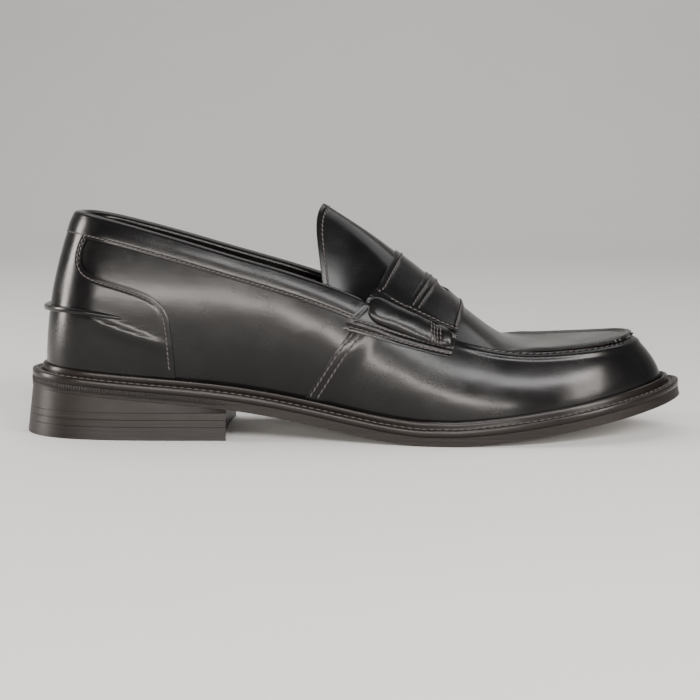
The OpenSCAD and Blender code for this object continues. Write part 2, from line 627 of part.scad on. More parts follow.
// Stiffeners and linings
stiff_q = 4.7;
module counter_stiffener() {
  function grid(d) = [for (u = count_to(24)) let(s = 2 * u - 1, q = RING + stiff_q * s,
      high = 0.66 - 0.3 * s * s) [for (w = count_to(5)) wall_at(q, mix(0.05, high, w), d)]];
  color("#d8cdb4") placed() shell(grid(stiff_top), grid(stiff_low));
}
puff_q = 12.6;
module toe_puff() {
  function grid(d) = [for (u = count_to(36)) let(q = mix(puff_q, RING - puff_q, u))
    [for (w = count_to(8)) wall_at(q, mix(0.08, 0.93, w), d)]];
  color("#e0d8c6") placed() shell(grid(stiff_top), grid(stiff_low));
}
lining_q = 7.7;
LINING_COLS = [0.1, 0.25, 0.4, 0.55, 0.7, 0.84, 0.95, 1];
module quarter_lining() {
  function grid(d) = [for (u = count_to(38)) [for (t = LINING_COLS)
    wall_at(RING + lining_q * (2 * u - 1), t, d)]];
  color("#8a4f33") placed() shell(grid(lining_top), grid(lining_low));
}
vamp_lining_high = 0.9;
module vamp_lining() {
  function grid(d) = [for (u = count_to(40))
    let(q = mix(lining_q + 0.02, RING - lining_q - 0.02, u))
      [for (w = count_to(6)) wall_at(q, mix(0.12, vamp_lining_high, w), d)]];
  color("#8a4f33") placed() shell(grid(lining_top), grid(lining_low));
}
module apron_lining() {
  function grid(d) = [for (u = count_to(18)) [for (v = across(8) * 0.86)
    middle_at(mix(apron_from, 15.2, u), v, d)]];
  color("#8a4f33") placed() shell(grid(-leather_t - 2 * gap), grid(-leather_t - 2 * gap - lining_t));
}

// Threads that show on the upper
topline_thread_share = 1.12;
thread_lift = thread_d / 2 + gap;
module topline_thread() {
  color("#3a3634") placed() thread([for (u = count_to(40))
    let(q = RING + (band_q - 0.2) * (2 * u - 1),
        t = 1 - topline_thread_share * band_h / (rim(q)[2] - deck_z(rim(q)[0])))
      on_wall(q, t, thread_lift + (abs(q - RING) < 2.1 ? gap + overlay_t : 0))], thread_d);
}
counter_thread_in = 0.14;
module counter_thread() {
  color("#3a3634") placed() {
    thread([for (u = count_to(22)) let(e = edge_at(mix(0.02, 0.95, u), counter_thread_in))
      on_wall(e[0], e[1], thread_lift + gap + overlay_t)], thread_d);
    thread([for (u = count_to(22)) let(e = edge_at(mix(0.02, 0.95, u), counter_thread_in))
      on_wall(RING - e[0], e[1], thread_lift + gap + overlay_t)], thread_d);
  }
}
module vamp_seam_thread() {
  color("#3a3634") placed() for (side = [0, 1], offset_q = [0.08, 0.22]) {
    thread([for (u = count_to(10)) let(t = mix(0.13, 0.69, u), q = seam_q(t) + offset_q)
      on_wall(side == 0 ? q : RING - q, t, thread_lift)], thread_d);
  }
}
module apron_seam_thread() {
  color("#3a3634") placed() thread([for (u = count_to(56))
    let(q = mix(9.9, RING - 9.9, u)) on_wall(q, 0.965, thread_lift)], thread_d);
}
module strap_thread() {
  color("#3a3634") placed() {
    thread([for (u = count_to(26)) let(g = 2 + (2 * u - 1) * 0.9)
      on_girth(strap_rear(g) + 0.13, g,
        thread_lift + gap + overlay_t + over_band(strap_rear(g) + 0.13, g))], thread_d);
    thread([for (u = count_to(26)) let(g = 2 + (2 * u - 1) * 0.9)
      on_girth(strap_front(g) - 0.2, g, thread_lift + overlay_low + overlay_t)], thread_d);
    for (side = [0, 1]) {
      thread([for (u = count_to(12)) let(k = mix(7.4, 9.2, u), t = mix(0.76, 0.81, u))
        on_wall(side == 0 ? k : RING - k, t, thread_lift + gap + overlay_t + over_band(k, t))],
        thread_d);
    }
  }
}

heel_top_piece();
heel_lift_lower();
heel_lift_upper();
heel_seat_wedge();
heel_nails();
outsole();
welt();
welt_stitching();
inseam_thread();
insole();
insole_rib();
cork_filler();
shank();
sock_liner();
quarter_lateral();
quarter_medial();
vamp_wall();
apron();
tongue();
counter_overlay();
heel_ledge_strip();
topline_binding();
strap_base();
strap_overlay();
strap_roll_lateral();
strap_roll_medial();
counter_stiffener();
toe_puff();
quarter_lining();
vamp_lining();
apron_lining();
tongue_lining();
topline_thread();
counter_thread();
vamp_seam_thread();
apron_seam_thread();
strap_thread();
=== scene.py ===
import math

import bpy
import numpy as np
from bpy.props import FloatProperty, FloatVectorProperty, PointerProperty
from bpy.types import Operator, Panel, PropertyGroup
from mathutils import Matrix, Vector, noise


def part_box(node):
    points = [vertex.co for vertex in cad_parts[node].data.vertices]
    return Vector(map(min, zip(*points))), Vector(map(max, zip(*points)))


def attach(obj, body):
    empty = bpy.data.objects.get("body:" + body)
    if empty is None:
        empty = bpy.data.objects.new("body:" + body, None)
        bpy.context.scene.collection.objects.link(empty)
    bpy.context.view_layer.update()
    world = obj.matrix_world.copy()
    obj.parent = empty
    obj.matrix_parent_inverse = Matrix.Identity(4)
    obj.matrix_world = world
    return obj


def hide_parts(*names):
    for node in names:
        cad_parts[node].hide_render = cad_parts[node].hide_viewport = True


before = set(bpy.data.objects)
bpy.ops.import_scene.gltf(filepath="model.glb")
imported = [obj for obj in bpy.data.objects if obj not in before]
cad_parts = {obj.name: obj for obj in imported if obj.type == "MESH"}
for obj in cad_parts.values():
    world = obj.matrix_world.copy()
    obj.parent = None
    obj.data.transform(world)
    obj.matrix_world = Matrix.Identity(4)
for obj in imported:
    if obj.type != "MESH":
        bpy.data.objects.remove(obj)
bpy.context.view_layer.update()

bl_info = {
    "name": "Penny Loafer",
    "version": (1, 0, 0),
    "blender": (4, 5, 0),
    "location": "View3D > Sidebar > Loafer",
    "description": "Builds a black welted penny loafer piece by piece on its last",
    "category": "Add Mesh",
}

MM = 0.001

# Rows round the last, heel back (0) to toe tip (16), in millimetres: [sole edge x, y outer side,
# y inner side, rim x, rim y outer, rim y inner, rim z, bulge low, bulge high, crown]
LAST_ROWS = (
    (-2.2, 0, 0, 19.5, 0, 0, 100.6, 0.5, 8, 0),
    (2.5, -17.5, 17.5, 22, -12, 12, 100.6, 2, 8, 0),
    (16, -30, 30, 31, -21.5, 21.5, 99.4, 5.5, 7, 0),
    (38, -35, 34.5, 47, -26, 26.5, 95.3, 7.5, 5.5, 0),
    (65, -36, 35, 69, -28.5, 29, 89.2, 9, 4.5, 0),
    (92, -35.5, 32, 92, -30.5, 30.5, 82.2, 9.5, 4, 0),
    (118, -37, 31.5, 117, -32.5, 31.5, 75.2, 9, 4, 41),
    (142, -43, 36, 140, -34.5, 33, 68, 7.5, 5, 35.5),
    (165, -50.5, 45, 163, -37, 35.5, 58.5, 5, 6.5, 29.6),
    (188, -55.5, 51, 186, -38.5, 37, 48.5, 3, 7.5, 21.5),
    (210, -56, 52.5, 207, -38.5, 37, 42.4, 1.5, 7, 9.8),
    (232, -53, 51, 227, -36, 34.5, 39.6, 1.5, 6, -1.5),
    (253, -47, 46.5, 246, -32, 31.5, 40.3, 1.5, 6, 0.4),
    (273, -38, 39, 263, -25.5, 27.5, 41.5, 1, 6.5, 0.4),
    (290, -25.5, 28, 274.5, -16, 21, 42.9, 0.5, 7.5, 0.4),
    (300.5, -10, 15, 279.5, -5.5, 11.5, 43.9, 0.5, 8.5, 0.2),
    (303.2, 3, 3, 280.5, 3, 3, 44.2, 0.5, 9, 0),
)
TIP = len(LAST_ROWS) - 1
RING = 2 * TIP
# Underside of the outsole at every tenth of its length, in millimetres
SOLE_HEIGHTS = (22, 19.5, 17, 14.3, 9.35, 3.4, -1.3, 1.2, 4.9, 10.2, 16.6, 23.5)
LAST_LENGTH = 303 * MM
OUTSOLE_T = 4.2 * MM
WELT_REACH = 7.6 * MM
# Average length of one row of the last, of the wall's height, and of one girth unit on top
ROW_LENGTH = 23 * MM
WALL_TALL = 70 * MM
GIRTH_LENGTH = 42 * MM
# Play between pieces that lie on each other
PLAY = 0.05 * MM


def ring_table():
    rows = []
    for i in range(RING):
        k = i if i <= TIP else RING - i
        r = LAST_ROWS[k]
        side = 1 if i <= TIP else 2
        rows.append((r[0], r[side], r[3], r[3 + side], r[6], r[7], r[8], r[9]))
    return np.array(rows) * MM


RING_TABLE = ring_table()
EDGE_X, EDGE_Y, RIM_X, RIM_Y, RIM_Z, LOW_BULGE, HIGH_BULGE, CROWN = range(8)


def mix(a, b, w):
    return a * (1 - w) + b * w


def ease(a, b, v):
    w = np.clip((v - a) / (b - a), 0, 1)
    return w * w * (3 - 2 * w)


def unit(v):
    return v / np.maximum(np.linalg.norm(v, axis=-1, keepdims=True), 1e-12)


def xyz(x, y, z):
    return np.stack(np.broadcast_arrays(x, y, z), axis=-1)


def weights(f):
    return ((1 - f) ** 3 / 6, (3 * f ** 3 - 6 * f * f + 4) / 6,
            (-3 * f ** 3 + 3 * f * f + 3 * f + 1) / 6, f ** 3 / 6)


def column(q, c):
    """Smooth value of one column of the last at place q round the ring."""
    q = np.asarray(q, float)
    i = np.floor(q).astype(int)
    return sum(w * RING_TABLE[(i - 1 + m) % RING, c] for m, w in enumerate(weights(q - i)))


# The last starts this far from the origin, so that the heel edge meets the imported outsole
HEEL_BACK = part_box("outsole")[0][0] - float(column(0.0, EDGE_X))


def sole_z(x):
    """Height of the outsole's underside at x from the back of the heel."""
    u = np.asarray(x, float) * 10 / LAST_LENGTH
    first = 2 * SOLE_HEIGHTS[0] - SOLE_HEIGHTS[1]
    values = np.array((first,) + SOLE_HEIGHTS + (SOLE_HEIGHTS[-1],) * 2) * MM
    i = np.clip(np.floor(u).astype(int), 0, len(SOLE_HEIGHTS) - 2)
    return np.maximum(sum(w * values[i + m] for m, w in enumerate(weights(u - i))), 0)


def deck_z(x):
    return sole_z(x) + OUTSOLE_T


def edge(q):
    return np.stack([column(q, EDGE_X), column(q, EDGE_Y)], axis=-1)


def outward(q):
    d = unit(edge(q + 0.01) - edge(q - 0.01))
    return np.stack([d[..., 1], -d[..., 0]], axis=-1)


def inset_edge(q, inset):
    q = np.asarray(q, float)
    return edge(q) - outward(q) * np.broadcast_to(inset, q.shape)[..., None]


def rim(q):
    return xyz(column(q, RIM_X), column(q, RIM_Y), column(q, RIM_Z))


def wall_height(q):
    return column(q, RIM_Z) - deck_z(inset_edge(q, WELT_REACH)[..., 0])


# Shares of the wall's height at which its fullness is pulled out
LOW_HANDLE = 0.36
HIGH_HANDLE = 0.28


def wall(q, t):
    """Point on the wall of the upper, t from 0 at the welt to 1 at the rim."""
    q, t = np.broadcast_arrays(np.asarray(q, float), np.asarray(t, float))
    foot = inset_edge(q, WELT_REACH)
    n = outward(q)
    top = rim(q)
    low = deck_z(foot[..., 0]) + 2 * PLAY
    rise = top[..., 2] - low
    a = xyz(foot[..., 0], foot[..., 1], low)
    flat = xyz(n[..., 0], n[..., 1], 0 * low)
    up = xyz(0 * low, 0 * low, rise)
    b = a + flat * column(q, LOW_BULGE)[..., None] + LOW_HANDLE * up
    c = top + flat * column(q, HIGH_BULGE)[..., None] - HIGH_HANDLE * up
    u = t[..., None]
    s = 1 - u
    return s ** 3 * a + 3 * u * s * s * b + 3 * u * u * s * c + u ** 3 * top


CROWN_POWER = 2.1
# The tongue's sides drop inside the topline and draw in, from one row of the last to another
TONGUE_DROP = 13 * MM
TONGUE_NARROWING = 0.19
TONGUE_FREE = 7.1
TONGUE_HELD = 8.5


def middle(k, v):
    """Point on the top of the shoe, v from -1 at the outer rim to 1 at the inner rim."""
    w = ((v + 1) / 2)[..., None]
    rise = column(k, CROWN) * (1 - np.abs(v) ** CROWN_POWER)
    return mix(rim(k), rim(RING - k), w) + xyz(0 * rise, 0 * rise, rise)


def tongue_surface(k, v):
    """Point on the tongue, whose sides dive inside the topline."""
    w = 1 - ease(TONGUE_FREE, TONGUE_HELD, k)
    drop = TONGUE_DROP * w
    rise = (column(k, CROWN) + drop) * (1 - np.abs(v) ** CROWN_POWER) - drop
    across = (v * (1 - TONGUE_NARROWING * w) + 1) / 2
    return mix(rim(k), rim(RING - k), across[..., None]) + xyz(0 * rise, 0 * rise, rise)


def girth(k, g):
    """Point on the whole girth: 0 to 1 up the outer wall, 1 to 3 over, 3 to 4 down the inner."""
    outer = wall(k, np.clip(g, 0, 1))
    over = middle(k, np.clip(g - 2, -1, 1))
    inner = wall(RING - k, np.clip(4 - g, 0, 1))
    g = g[..., None]
    return np.where(g <= 1, outer, np.where(g <= 3, over, inner))


def lifted(surface, a, b, d, step=0.03):
    """Point at distance d off a surface, and the direction it was lifted in."""
    a, b, d = np.broadcast_arrays(np.asarray(a, float), np.asarray(b, float),
                                  np.asarray(d, float))
    along = surface(a + step, b) - surface(a - step, b)
    across = surface(a, b + step) - surface(a, b - step)
    n = unit(np.cross(along, across))
    return surface(a, b) + n * d[..., None], n


def patch(u, v, outline, start=None, turn=1.9):
    """Place inside an outline(q): u from the back to the front, v across.

    The back end is round, or straight across where start is given.
    """
    near = turn if start is None else start
    far = TIP - turn
    side = mix(near, far, u)
    left, right = outline(side), outline(RING - side)
    corners = (outline(np.array([near, far])), outline(RING - np.array([near, far])))
    u, v = u[:, None], v[:, None]
    front = outline(mix(far, RING - far, v[:, 0]))
    if start is None:
        back = outline(near * (1 - 2 * v[:, 0]))
    else:
        back = mix(corners[0][0], corners[1][0], v)
    bilinear = mix(mix(corners[0][0], corners[0][1], u), mix(corners[1][0], corners[1][1], u), v)
    return mix(left, right, v) + mix(back, front, u) - bilinear


def top_height(x, y):
    """Height of the top of the shoe over a place in the plan."""
    table = np.linspace(8.5, TIP, 1500)
    k = np.interp(x, column(table, RIM_X), table)
    a, b = column(k, RIM_Y), column(RING - k, RIM_Y)
    v = np.clip(2 * (y - a) / np.maximum(b - a, 1e-5) - 1, -1, 1)
    return column(k, RIM_Z) + column(k, CROWN) * (1 - np.abs(v) ** CROWN_POWER)


# ---------------------------------------------------------------- modelling helpers

def select_only(obj):
    bpy.ops.object.select_all(action="DESELECT")
    obj.select_set(True)
    bpy.context.view_layer.objects.active = obj


def named(name):
    obj = bpy.context.object
    obj.name = name
    obj.data.name = name
    return obj


def vertex_array(obj):
    co = np.empty(len(obj.data.vertices) * 3)
    obj.data.vertices.foreach_get("co", co)
    return co.reshape(-1, 3)


def move_vertices(obj, co):
    obj.data.vertices.foreach_set("co", np.ascontiguousarray(co, dtype=float).ravel())
    obj.data.update()


def on_last(points):
    """From the last's own place to the frame's, where the heel's middle is the origin."""
    return points + np.array([HEEL_BACK, 0, 0])


def laid_sheet(name, rows, cols, lay):
    """A grid whose vertices are laid on the last by lay(u, v)."""
    bpy.ops.object.select_all(action="DESELECT")
    bpy.ops.mesh.primitive_grid_add(x_subdivisions=rows, y_subdivisions=cols, size=2)
    obj = named(name)
    co = vertex_array(obj)
    move_vertices(obj, on_last(lay((co[:, 0] + 1) / 2, (co[:, 1] + 1) / 2)))
    return obj


def apply_modifier(obj, kind, **settings):
    select_only(obj)
    mod = obj.modifiers.new(kind.title(), kind)
    for key, value in settings.items():
        setattr(mod, key, value)
    bpy.ops.object.modifier_apply(modifier=mod.name)


def edit_all(obj, *steps):
    """Runs edit-mode steps on everything in the mesh."""
    select_only(obj)
    bpy.ops.object.mode_set(mode="EDIT")
    bpy.ops.mesh.select_all(action="SELECT")
    for step in steps:
        step()
    bpy.ops.object.mode_set(mode="OBJECT")


def turn_faces_out(obj):
    edit_all(obj, lambda: bpy.ops.mesh.normals_make_consistent(inside=False))


def weld(obj):
    """Joins the sheet's edges where they meet."""
    edit_all(obj, lambda: bpy.ops.mesh.remove_doubles(threshold=0.02 * MM))
    turn_faces_out(obj)


def prism(name, ring, lift):
    """A disc laid on a ring of points and extruded by a vector."""
    bpy.ops.object.select_all(action="DESELECT")
    bpy.ops.mesh.primitive_circle_add(vertices=len(ring), radius=1, fill_type="NGON")
    obj = named(name)
    move_vertices(obj, ring)
    edit_all(obj, lambda: bpy.ops.mesh.extrude_region_move(
        TRANSFORM_OT_translate={"value": tuple(lift)}))
    return obj


def cut_away(obj, cutter):
    apply_modifier(obj, "BOOLEAN", operation="DIFFERENCE", object=cutter)
    bpy.data.objects.remove(cutter)


def thicken(obj, thickness):
    apply_modifier(obj, "SOLIDIFY", thickness=thickness, offset=-1, use_even_offset=False,
                   use_rim=True)


def round_edges(obj, width, segments=3, angle=50):
    apply_modifier(obj, "BEVEL", width=width, segments=segments, limit_method="ANGLE",
                   angle_limit=math.radians(angle), harden_normals=False)


def finished(obj, material, replaces=(), crease=50):
    select_only(obj)
    bpy.ops.object.shade_smooth_by_angle(angle=math.radians(crease))
    obj.data.materials.clear()
    obj.data.materials.append(material)
    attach(obj, "root")
    if replaces:
        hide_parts(*replaces)


def leather_sheet(name, node, lay, grid, thickness, rounding, material="upper_calf"):
    """A piece of leather laid on the last, with rounded edges; rounding is bevel's settings."""
    piece = laid_sheet(name, *grid, lay)
    thicken(piece, thickness)
    round_edges(piece, *rounding)
    finished(piece, look(material), (node,))


def distance_to(points, path):
    """Distance from each point to the nearest point of a path."""
    best = np.full(len(points), 1e9)
    for start in range(0, len(path), 200):
        chunk = path[start:start + 200]
        d = np.linalg.norm(points[:, None, :] - chunk[None, :, :], axis=2).min(axis=1)
        best = np.minimum(best, d)
    return best


def ridge(distance, height, width):
    """A soft ridge or, with a negative height, a groove along a path."""
    return height * np.exp(-(distance / width) ** 2)


def soft_noise(points, scale, seed):
    """Gentle unevenness of the leather, the same on every run."""
    offset = Vector((seed, seed * 1.7, seed * 0.3))
    return np.array([noise.noise(Vector(p) * scale + offset) for p in points])


# ---------------------------------------------------------------- shader helpers

class Value:
    """A node's output that can be used in plain expressions."""

    def __init__(self, recipe, socket):
        self.recipe = recipe
        self.socket = socket

    def _maths(self, operation, a, b):
        return self.recipe.node("ShaderNodeMath", {"operation": operation}, {0: a, 1: b})

    def __add__(self, other):
        return self._maths("ADD", self, other)

    def __radd__(self, other):
        return self._maths("ADD", other, self)

    def __mul__(self, other):
        return self._maths("MULTIPLY", self, other)

    def __rmul__(self, other):
        return self._maths("MULTIPLY", other, self)


class Recipe:
    """One material's nodes."""

    def __init__(self, name):
        self.material = bpy.data.materials.new(name)
        self.material.use_nodes = True
        self.tree = self.material.node_tree
        self.tree.nodes.clear()
        self.shader = self.tree.nodes.new("ShaderNodeBsdfPrincipled")
        output = self.tree.nodes.new("ShaderNodeOutputMaterial")
        self.tree.links.new(self.shader.outputs["BSDF"], output.inputs["Surface"])
        self.place = self.node("ShaderNodeTexCoord", out="Object")

    def feed(self, socket, value):
        if isinstance(value, Value):
            self.tree.links.new(value.socket, socket)
        else:
            socket.default_value = value

    def node(self, kind, settings=None, inputs=None, out=0):
        node = self.tree.nodes.new(kind)
        for key, value in (settings or {}).items():
            if key == "stops":
                self.set_stops(node.color_ramp, value)
            else:
                setattr(node, key, value)
        for key, value in (inputs or {}).items():
            self.feed(node.inputs[key], value)
        return Value(self, node.outputs[out])

    def set_stops(self, ramp, stops):
        while len(ramp.elements) < len(stops):
            ramp.elements.new(1)
        for element, (position, shade) in zip(ramp.elements, stops):
            element.position = position
            element.color = (shade, shade, shade, 1)

    def stretched(self, scale):
        return self.node("ShaderNodeMapping", {}, {"Vector": self.place, "Scale": scale})

    def noise(self, scale, detail=3, roughness=0.5, where=None):
        return self.node("ShaderNodeTexNoise", {}, {
            "Vector": where or self.place, "Scale": scale, "Detail": detail,
            "Roughness": roughness})

    def cells(self, scale):
        return self.node("ShaderNodeTexVoronoi", {}, {"Vector": self.place, "Scale": scale})

    def ramp(self, value, stops):
        return self.node("ShaderNodeValToRGB", {"stops": stops}, {"Fac": value})

    def blend(self, factor, a, b):
        return self.node("ShaderNodeMix", {"data_type": "RGBA"}, {0: factor, 6: a, 7: b}, out=2)

    def bump(self, height, distance, strength=1.0, under=None):
        inputs = {"Height": height, "Distance": distance, "Strength": strength}
        if under is not None:
            inputs["Normal"] = under
        return self.node("ShaderNodeBump", {}, inputs)

    def surface(self, **inputs):
        for key, value in inputs.items():
            self.feed(self.shader.inputs[key.replace("_", " ")], value)
        return self.material


def colour(rgb, share=1, add=0):
    """A shader colour, lightened or darkened by a share and an amount."""
    return tuple(c * share + add for c in rgb) + (1,)


def calf_leather(name, rgb, grain=1.0, gloss=0.17, shine=0.22):
    """Polished calf: fine cells and pores, long soft creases, uneven shine."""
    r = Recipe(name)
    warp = r.noise(90, 2)
    fine = r.cells(1500)
    pores = r.noise(2600, 2, 0.6)
    long_crease = r.noise(120, 4, 0.6, r.stretched((0.5, 1.0, 1.9)))
    crease = r.ramp(long_crease, ((0.42, 0.0), (0.5, 1.0), (0.58, 0.0)))
    height = fine * 0.5 + pores * 0.35 + crease * 0.35 * warp
    base = r.bump(height, 0.000032 * grain, 0.8)
    wave = r.noise(38, 2)
    bent = r.bump(wave, 0.0006, 0.5, base)
    wear = r.ramp(r.noise(55, 5, 0.6), ((0.35, 0.0), (0.75, 1.0)))
    tone = r.blend(wear * 0.5, colour(rgb), colour(rgb, 1.7, 0.001))
    rough = gloss + wear * 0.1 + fine * 0.05 + pores * 0.02
    r.surface(Specular_IOR_Level=shine, Coat_Roughness=0.12, Coat_IOR=1.45)
    return r.surface(Base_Color=tone, Roughness=rough, Coat_Weight=0.08, Normal=bent)


def edge_leather(name, rgb, line_scale=1.0):
    """Stacked or cut leather edges: fine level lines, burnished with dark wax."""
    r = Recipe(name)
    level = r.stretched((14, 14, 1500 * line_scale))
    lines = r.noise(1.0, 3, 0.65, level)
    fibres = r.noise(1.0, 2, 0.5, r.stretched((60, 60, 3400)))
    rubbed = r.noise(70, 3)
    height = lines * 0.7 + fibres * 0.3
    normal = r.bump(height, 0.00012, 0.9)
    tone = r.blend(r.ramp(lines, ((0.35, 0.0), (0.7, 1.0))), colour(rgb),
                   colour(rgb, 1.8, 0.002))
    rough = 0.3 + 0.14 * rubbed + 0.12 * lines
    r.surface(Specular_IOR_Level=0.2)
    return r.surface(Base_Color=tone, Roughness=rough, Normal=normal)


def sole_leather(name, rgb):
    """Sole leather: tight fibre, faint scuffs along the walking direction."""
    r = Recipe(name)
    fibre = r.noise(900, 4, 0.7)
    scuff = r.noise(1.0, 4, 0.6, r.stretched((60, 420, 420)))
    marks = r.ramp(scuff, ((0.5, 0.0), (0.62, 1.0)))
    tone = r.blend(marks * 0.5, colour(rgb), colour(rgb, 2.2, 0.01))
    normal = r.bump(fibre * 0.6 + marks * 0.4, 0.00012, 0.7)
    return r.surface(Base_Color=tone, Roughness=0.42 + 0.2 * marks, Normal=normal,
                     Specular_IOR_Level=0.4)


def lining_leather(name, rgb):
    """Soft vegetable-tanned lining, matt, with pores and darker handled patches."""
    r = Recipe(name)
    pores = r.cells(1100)
    patches = r.noise(45, 4, 0.6)
    tone = r.blend(r.ramp(patches, ((0.3, 0.0), (0.8, 1.0))), colour(rgb),
                   colour(rgb, 0.6))
    normal = r.bump(pores * 0.6 + r.noise(1900, 2) * 0.4, 0.00008, 0.7)
    return r.surface(Base_Color=tone, Roughness=0.5 + 0.15 * pores, Normal=normal,
                     Specular_IOR_Level=0.35)


def waxed_thread(name, rgb):
    """Twisted waxed thread."""
    r = Recipe(name)
    twist = r.noise(1800, 3, 0.6)
    tone = r.blend(twist, colour(rgb, 0.6), colour(rgb, 1.4))
    normal = r.bump(r.noise(3200, 2), 0.00008, 0.8)
    return r.surface(Base_Color=tone, Roughness=0.45 + 0.2 * twist, Normal=normal)


def plain_matter(name, rgb, roughness, grain_scale, grain_depth, metallic=0.0, contrast=0.5):
    """Rubber, canvas, cork, board and metal: a mottled base with its own grain."""
    r = Recipe(name)
    grain = r.noise(grain_scale, 4, 0.6)
    cells = r.cells(grain_scale * 0.7)
    tone = r.blend(grain * contrast, colour(rgb), colour(rgb, 0.5))
    normal = r.bump(grain * 0.6 + cells * 0.4, grain_depth, 0.8)
    r.surface(Metallic=metallic)
    return r.surface(Base_Color=tone, Roughness=roughness + 0.15 * grain, Normal=normal)


# ---------------------------------------------------------------- settings

def length(name, description, millimetres):
    return FloatProperty(name=name, description=description, default=millimetres * MM,
                         unit="LENGTH")


def shade(name, description, rgb):
    return FloatVectorProperty(name=name, description=description, default=rgb, subtype="COLOR")


class LoaferSizes(PropertyGroup):
    leather: length("Leather", "Thickness of the outer leather", 1.6)
    overlay: length("Overlay", "Thickness of leather laid over the upper", 0.8)
    band: length("Topline band", "Depth of the band round the topline", 9)
    pitch: length("Stitch pitch", "Length of one stitch in the upper", 2.3)
    seam_pitch: length("Seam pitch", "Length of one stitch in the vamp seam", 2.9)
    thread: length("Thread", "Diameter of the thread in the upper", 0.7)
    welt_pitch: length("Welt pitch", "Length of one stitch in the welt", 3.3)
    wheel_pitch: length("Wheel pitch", "Spacing of the wheeled marks", 1.35)
    wheel_mark: length("Wheel mark height", "Height of the wheeled marks", 3)


class LoaferColours(PropertyGroup):
    calf: shade("Calf", "Colour of the polished upper", (0.0035, 0.0033, 0.0034))
    edge: shade("Edges", "Colour of the heel and sole edges", (0.0065, 0.0046, 0.004))
    sole: shade("Sole", "Colour of the outsole", (0.016, 0.011, 0.009))
    lining: shade("Lining", "Colour of the lining leather", (0.16, 0.055, 0.028))
    thread: shade("Thread", "Colour of the thread", (0.026, 0.0245, 0.0235))


def sizes():
    return bpy.context.scene.loafer_sizes


def colours():
    return bpy.context.scene.loafer_colours


LOOKS = {
    "upper_calf": lambda name: calf_leather(name, colours().calf),
    "welt_wax": lambda name: calf_leather(name, colours().edge, 0.8, 0.25, 0.18),
    "edge_wax": lambda name: edge_leather(name, colours().edge),
    "lining_hide": lambda name: lining_leather(name, colours().lining),
    "upper_thread": lambda name: waxed_thread(name, colours().thread),
    "welt_thread": lambda name: waxed_thread(name, (0.05, 0.043, 0.038)),
    # Near-black painted shade, laid on the surface where needle holes and wheeled notches would be
    # sunk
    "needle_hole": lambda name: plain_matter(name, (0.002, 0.002, 0.002), 0.7, 2000, 0.00002),
}


def look(name):
    """A shared material by name, made the first time it is asked for."""
    return bpy.data.materials.get(name) or LOOKS[name](name)


# ---------------------------------------------------------------- stitches

def path_frames(points, normals, pitch):
    """Evenly spaced places along a path, each with its direction, side and lift."""
    steps = np.linalg.norm(np.diff(points, axis=0), axis=1)
    run = np.concatenate([[0], np.cumsum(steps)])
    count = max(int(round(run[-1] / pitch)), 1)
    at = (np.arange(count) + 0.5) * run[-1] / count

    def along_run(values, shift=0):
        return np.stack([np.interp(at + shift, run, values[:, i]) for i in range(3)], axis=1)

    where = along_run(points)
    lift = unit(along_run(normals))
    along = unit(along_run(points, pitch * 0.3) - along_run(points, pitch * -0.3))
    side = unit(np.cross(lift, along))
    return where, along, side, lift, run[-1] / count


def copies(template, where, along, side, lift, scale):
    """The template's vertices once at every place."""
    local = template * np.array(scale)
    return (where[:, None, :] + local[None, :, 0:1] * along[:, None, :]
            + local[None, :, 1:2] * side[:, None, :] + local[None, :, 2:3] * lift[:, None, :])


def ball_template(segments, rings):
    bpy.ops.object.select_all(action="DESELECT")
    bpy.ops.mesh.primitive_uv_sphere_add(segments=segments, ring_count=rings, radius=0.5)
    obj = bpy.context.object
    co = vertex_array(obj)
    faces = [tuple(p.vertices) for p in obj.data.polygons]
    bpy.data.objects.remove(obj)
    # The poles lie across the stitch, so that its length has a round nose at each end
    return co[:, [2, 0, 1]], faces


def small_bodies(name, blocks, faces, material, replaces=()):
    """One mesh of many small bodies; each block is (bodies, dark), and dark ones get the
    near-black painted shade material, standing in for the shade inside holes and notches.
    """
    bodies = np.concatenate([block for block, dark in blocks])
    size = bodies.shape[1]
    mesh = bpy.data.meshes.new(name)
    polygons = [tuple(i * size + a for a in f) for i in range(len(bodies)) for f in faces]
    mesh.from_pydata(on_last(bodies.reshape(-1, 3)).tolist(), [], polygons)
    obj = bpy.data.objects.new(name, mesh)
    bpy.context.collection.objects.link(obj)
    finished(obj, look(material), replaces)
    # Second material: the near-black painted shade for the dark bodies
    obj.data.materials.append(look("needle_hole"))
    dark = np.concatenate([np.full(len(block), int(dark)) for block, dark in blocks])
    obj.data.polygons.foreach_set("material_index", np.repeat(dark, len(faces)))


# Form of one stitch: its slant, how far it stands up, its length in pitches and its height and the
# length and height in thread diameters of the painted shade that stands for its holes
STITCH_SLANT = 0.16
STITCH_SEAT = 0.25
STITCH_LONG = 0.86
STITCH_HIGH = 0.9
HOLE_SHADE_WIDE = 1.2
HOLE_SHADE_HIGH = 0.24


def sewn_row(name, rows, pitch, diameter, replaces=(), holes=0.9, material="upper_thread"):
    """Rows of single stitches; each row is (points, normals) on the leather."""
    ball, faces = ball_template(8, 6)
    blocks = []
    for points, normals in rows:
        where, along, side, lift, step = path_frames(points, normals, pitch)
        turned = unit(along + side * STITCH_SLANT)
        across = unit(np.cross(lift, turned))
        seat = where + lift * diameter * STITCH_SEAT
        blocks.append((copies(ball, seat, turned, across, lift,
                              (step * STITCH_LONG, diameter, diameter * STITCH_HIGH)), False))
        # The holes are flat near-black bodies between the stitches: painted shade of the needle
        # holes, scaled by holes
        if holes:
            blocks.append((copies(ball, where + along * step / 2, along, side, lift,
                                  (diameter * holes, diameter * HOLE_SHADE_WIDE * holes,
                                   diameter * HOLE_SHADE_HIGH)), True))
    small_bodies(name, blocks, faces, material, replaces)


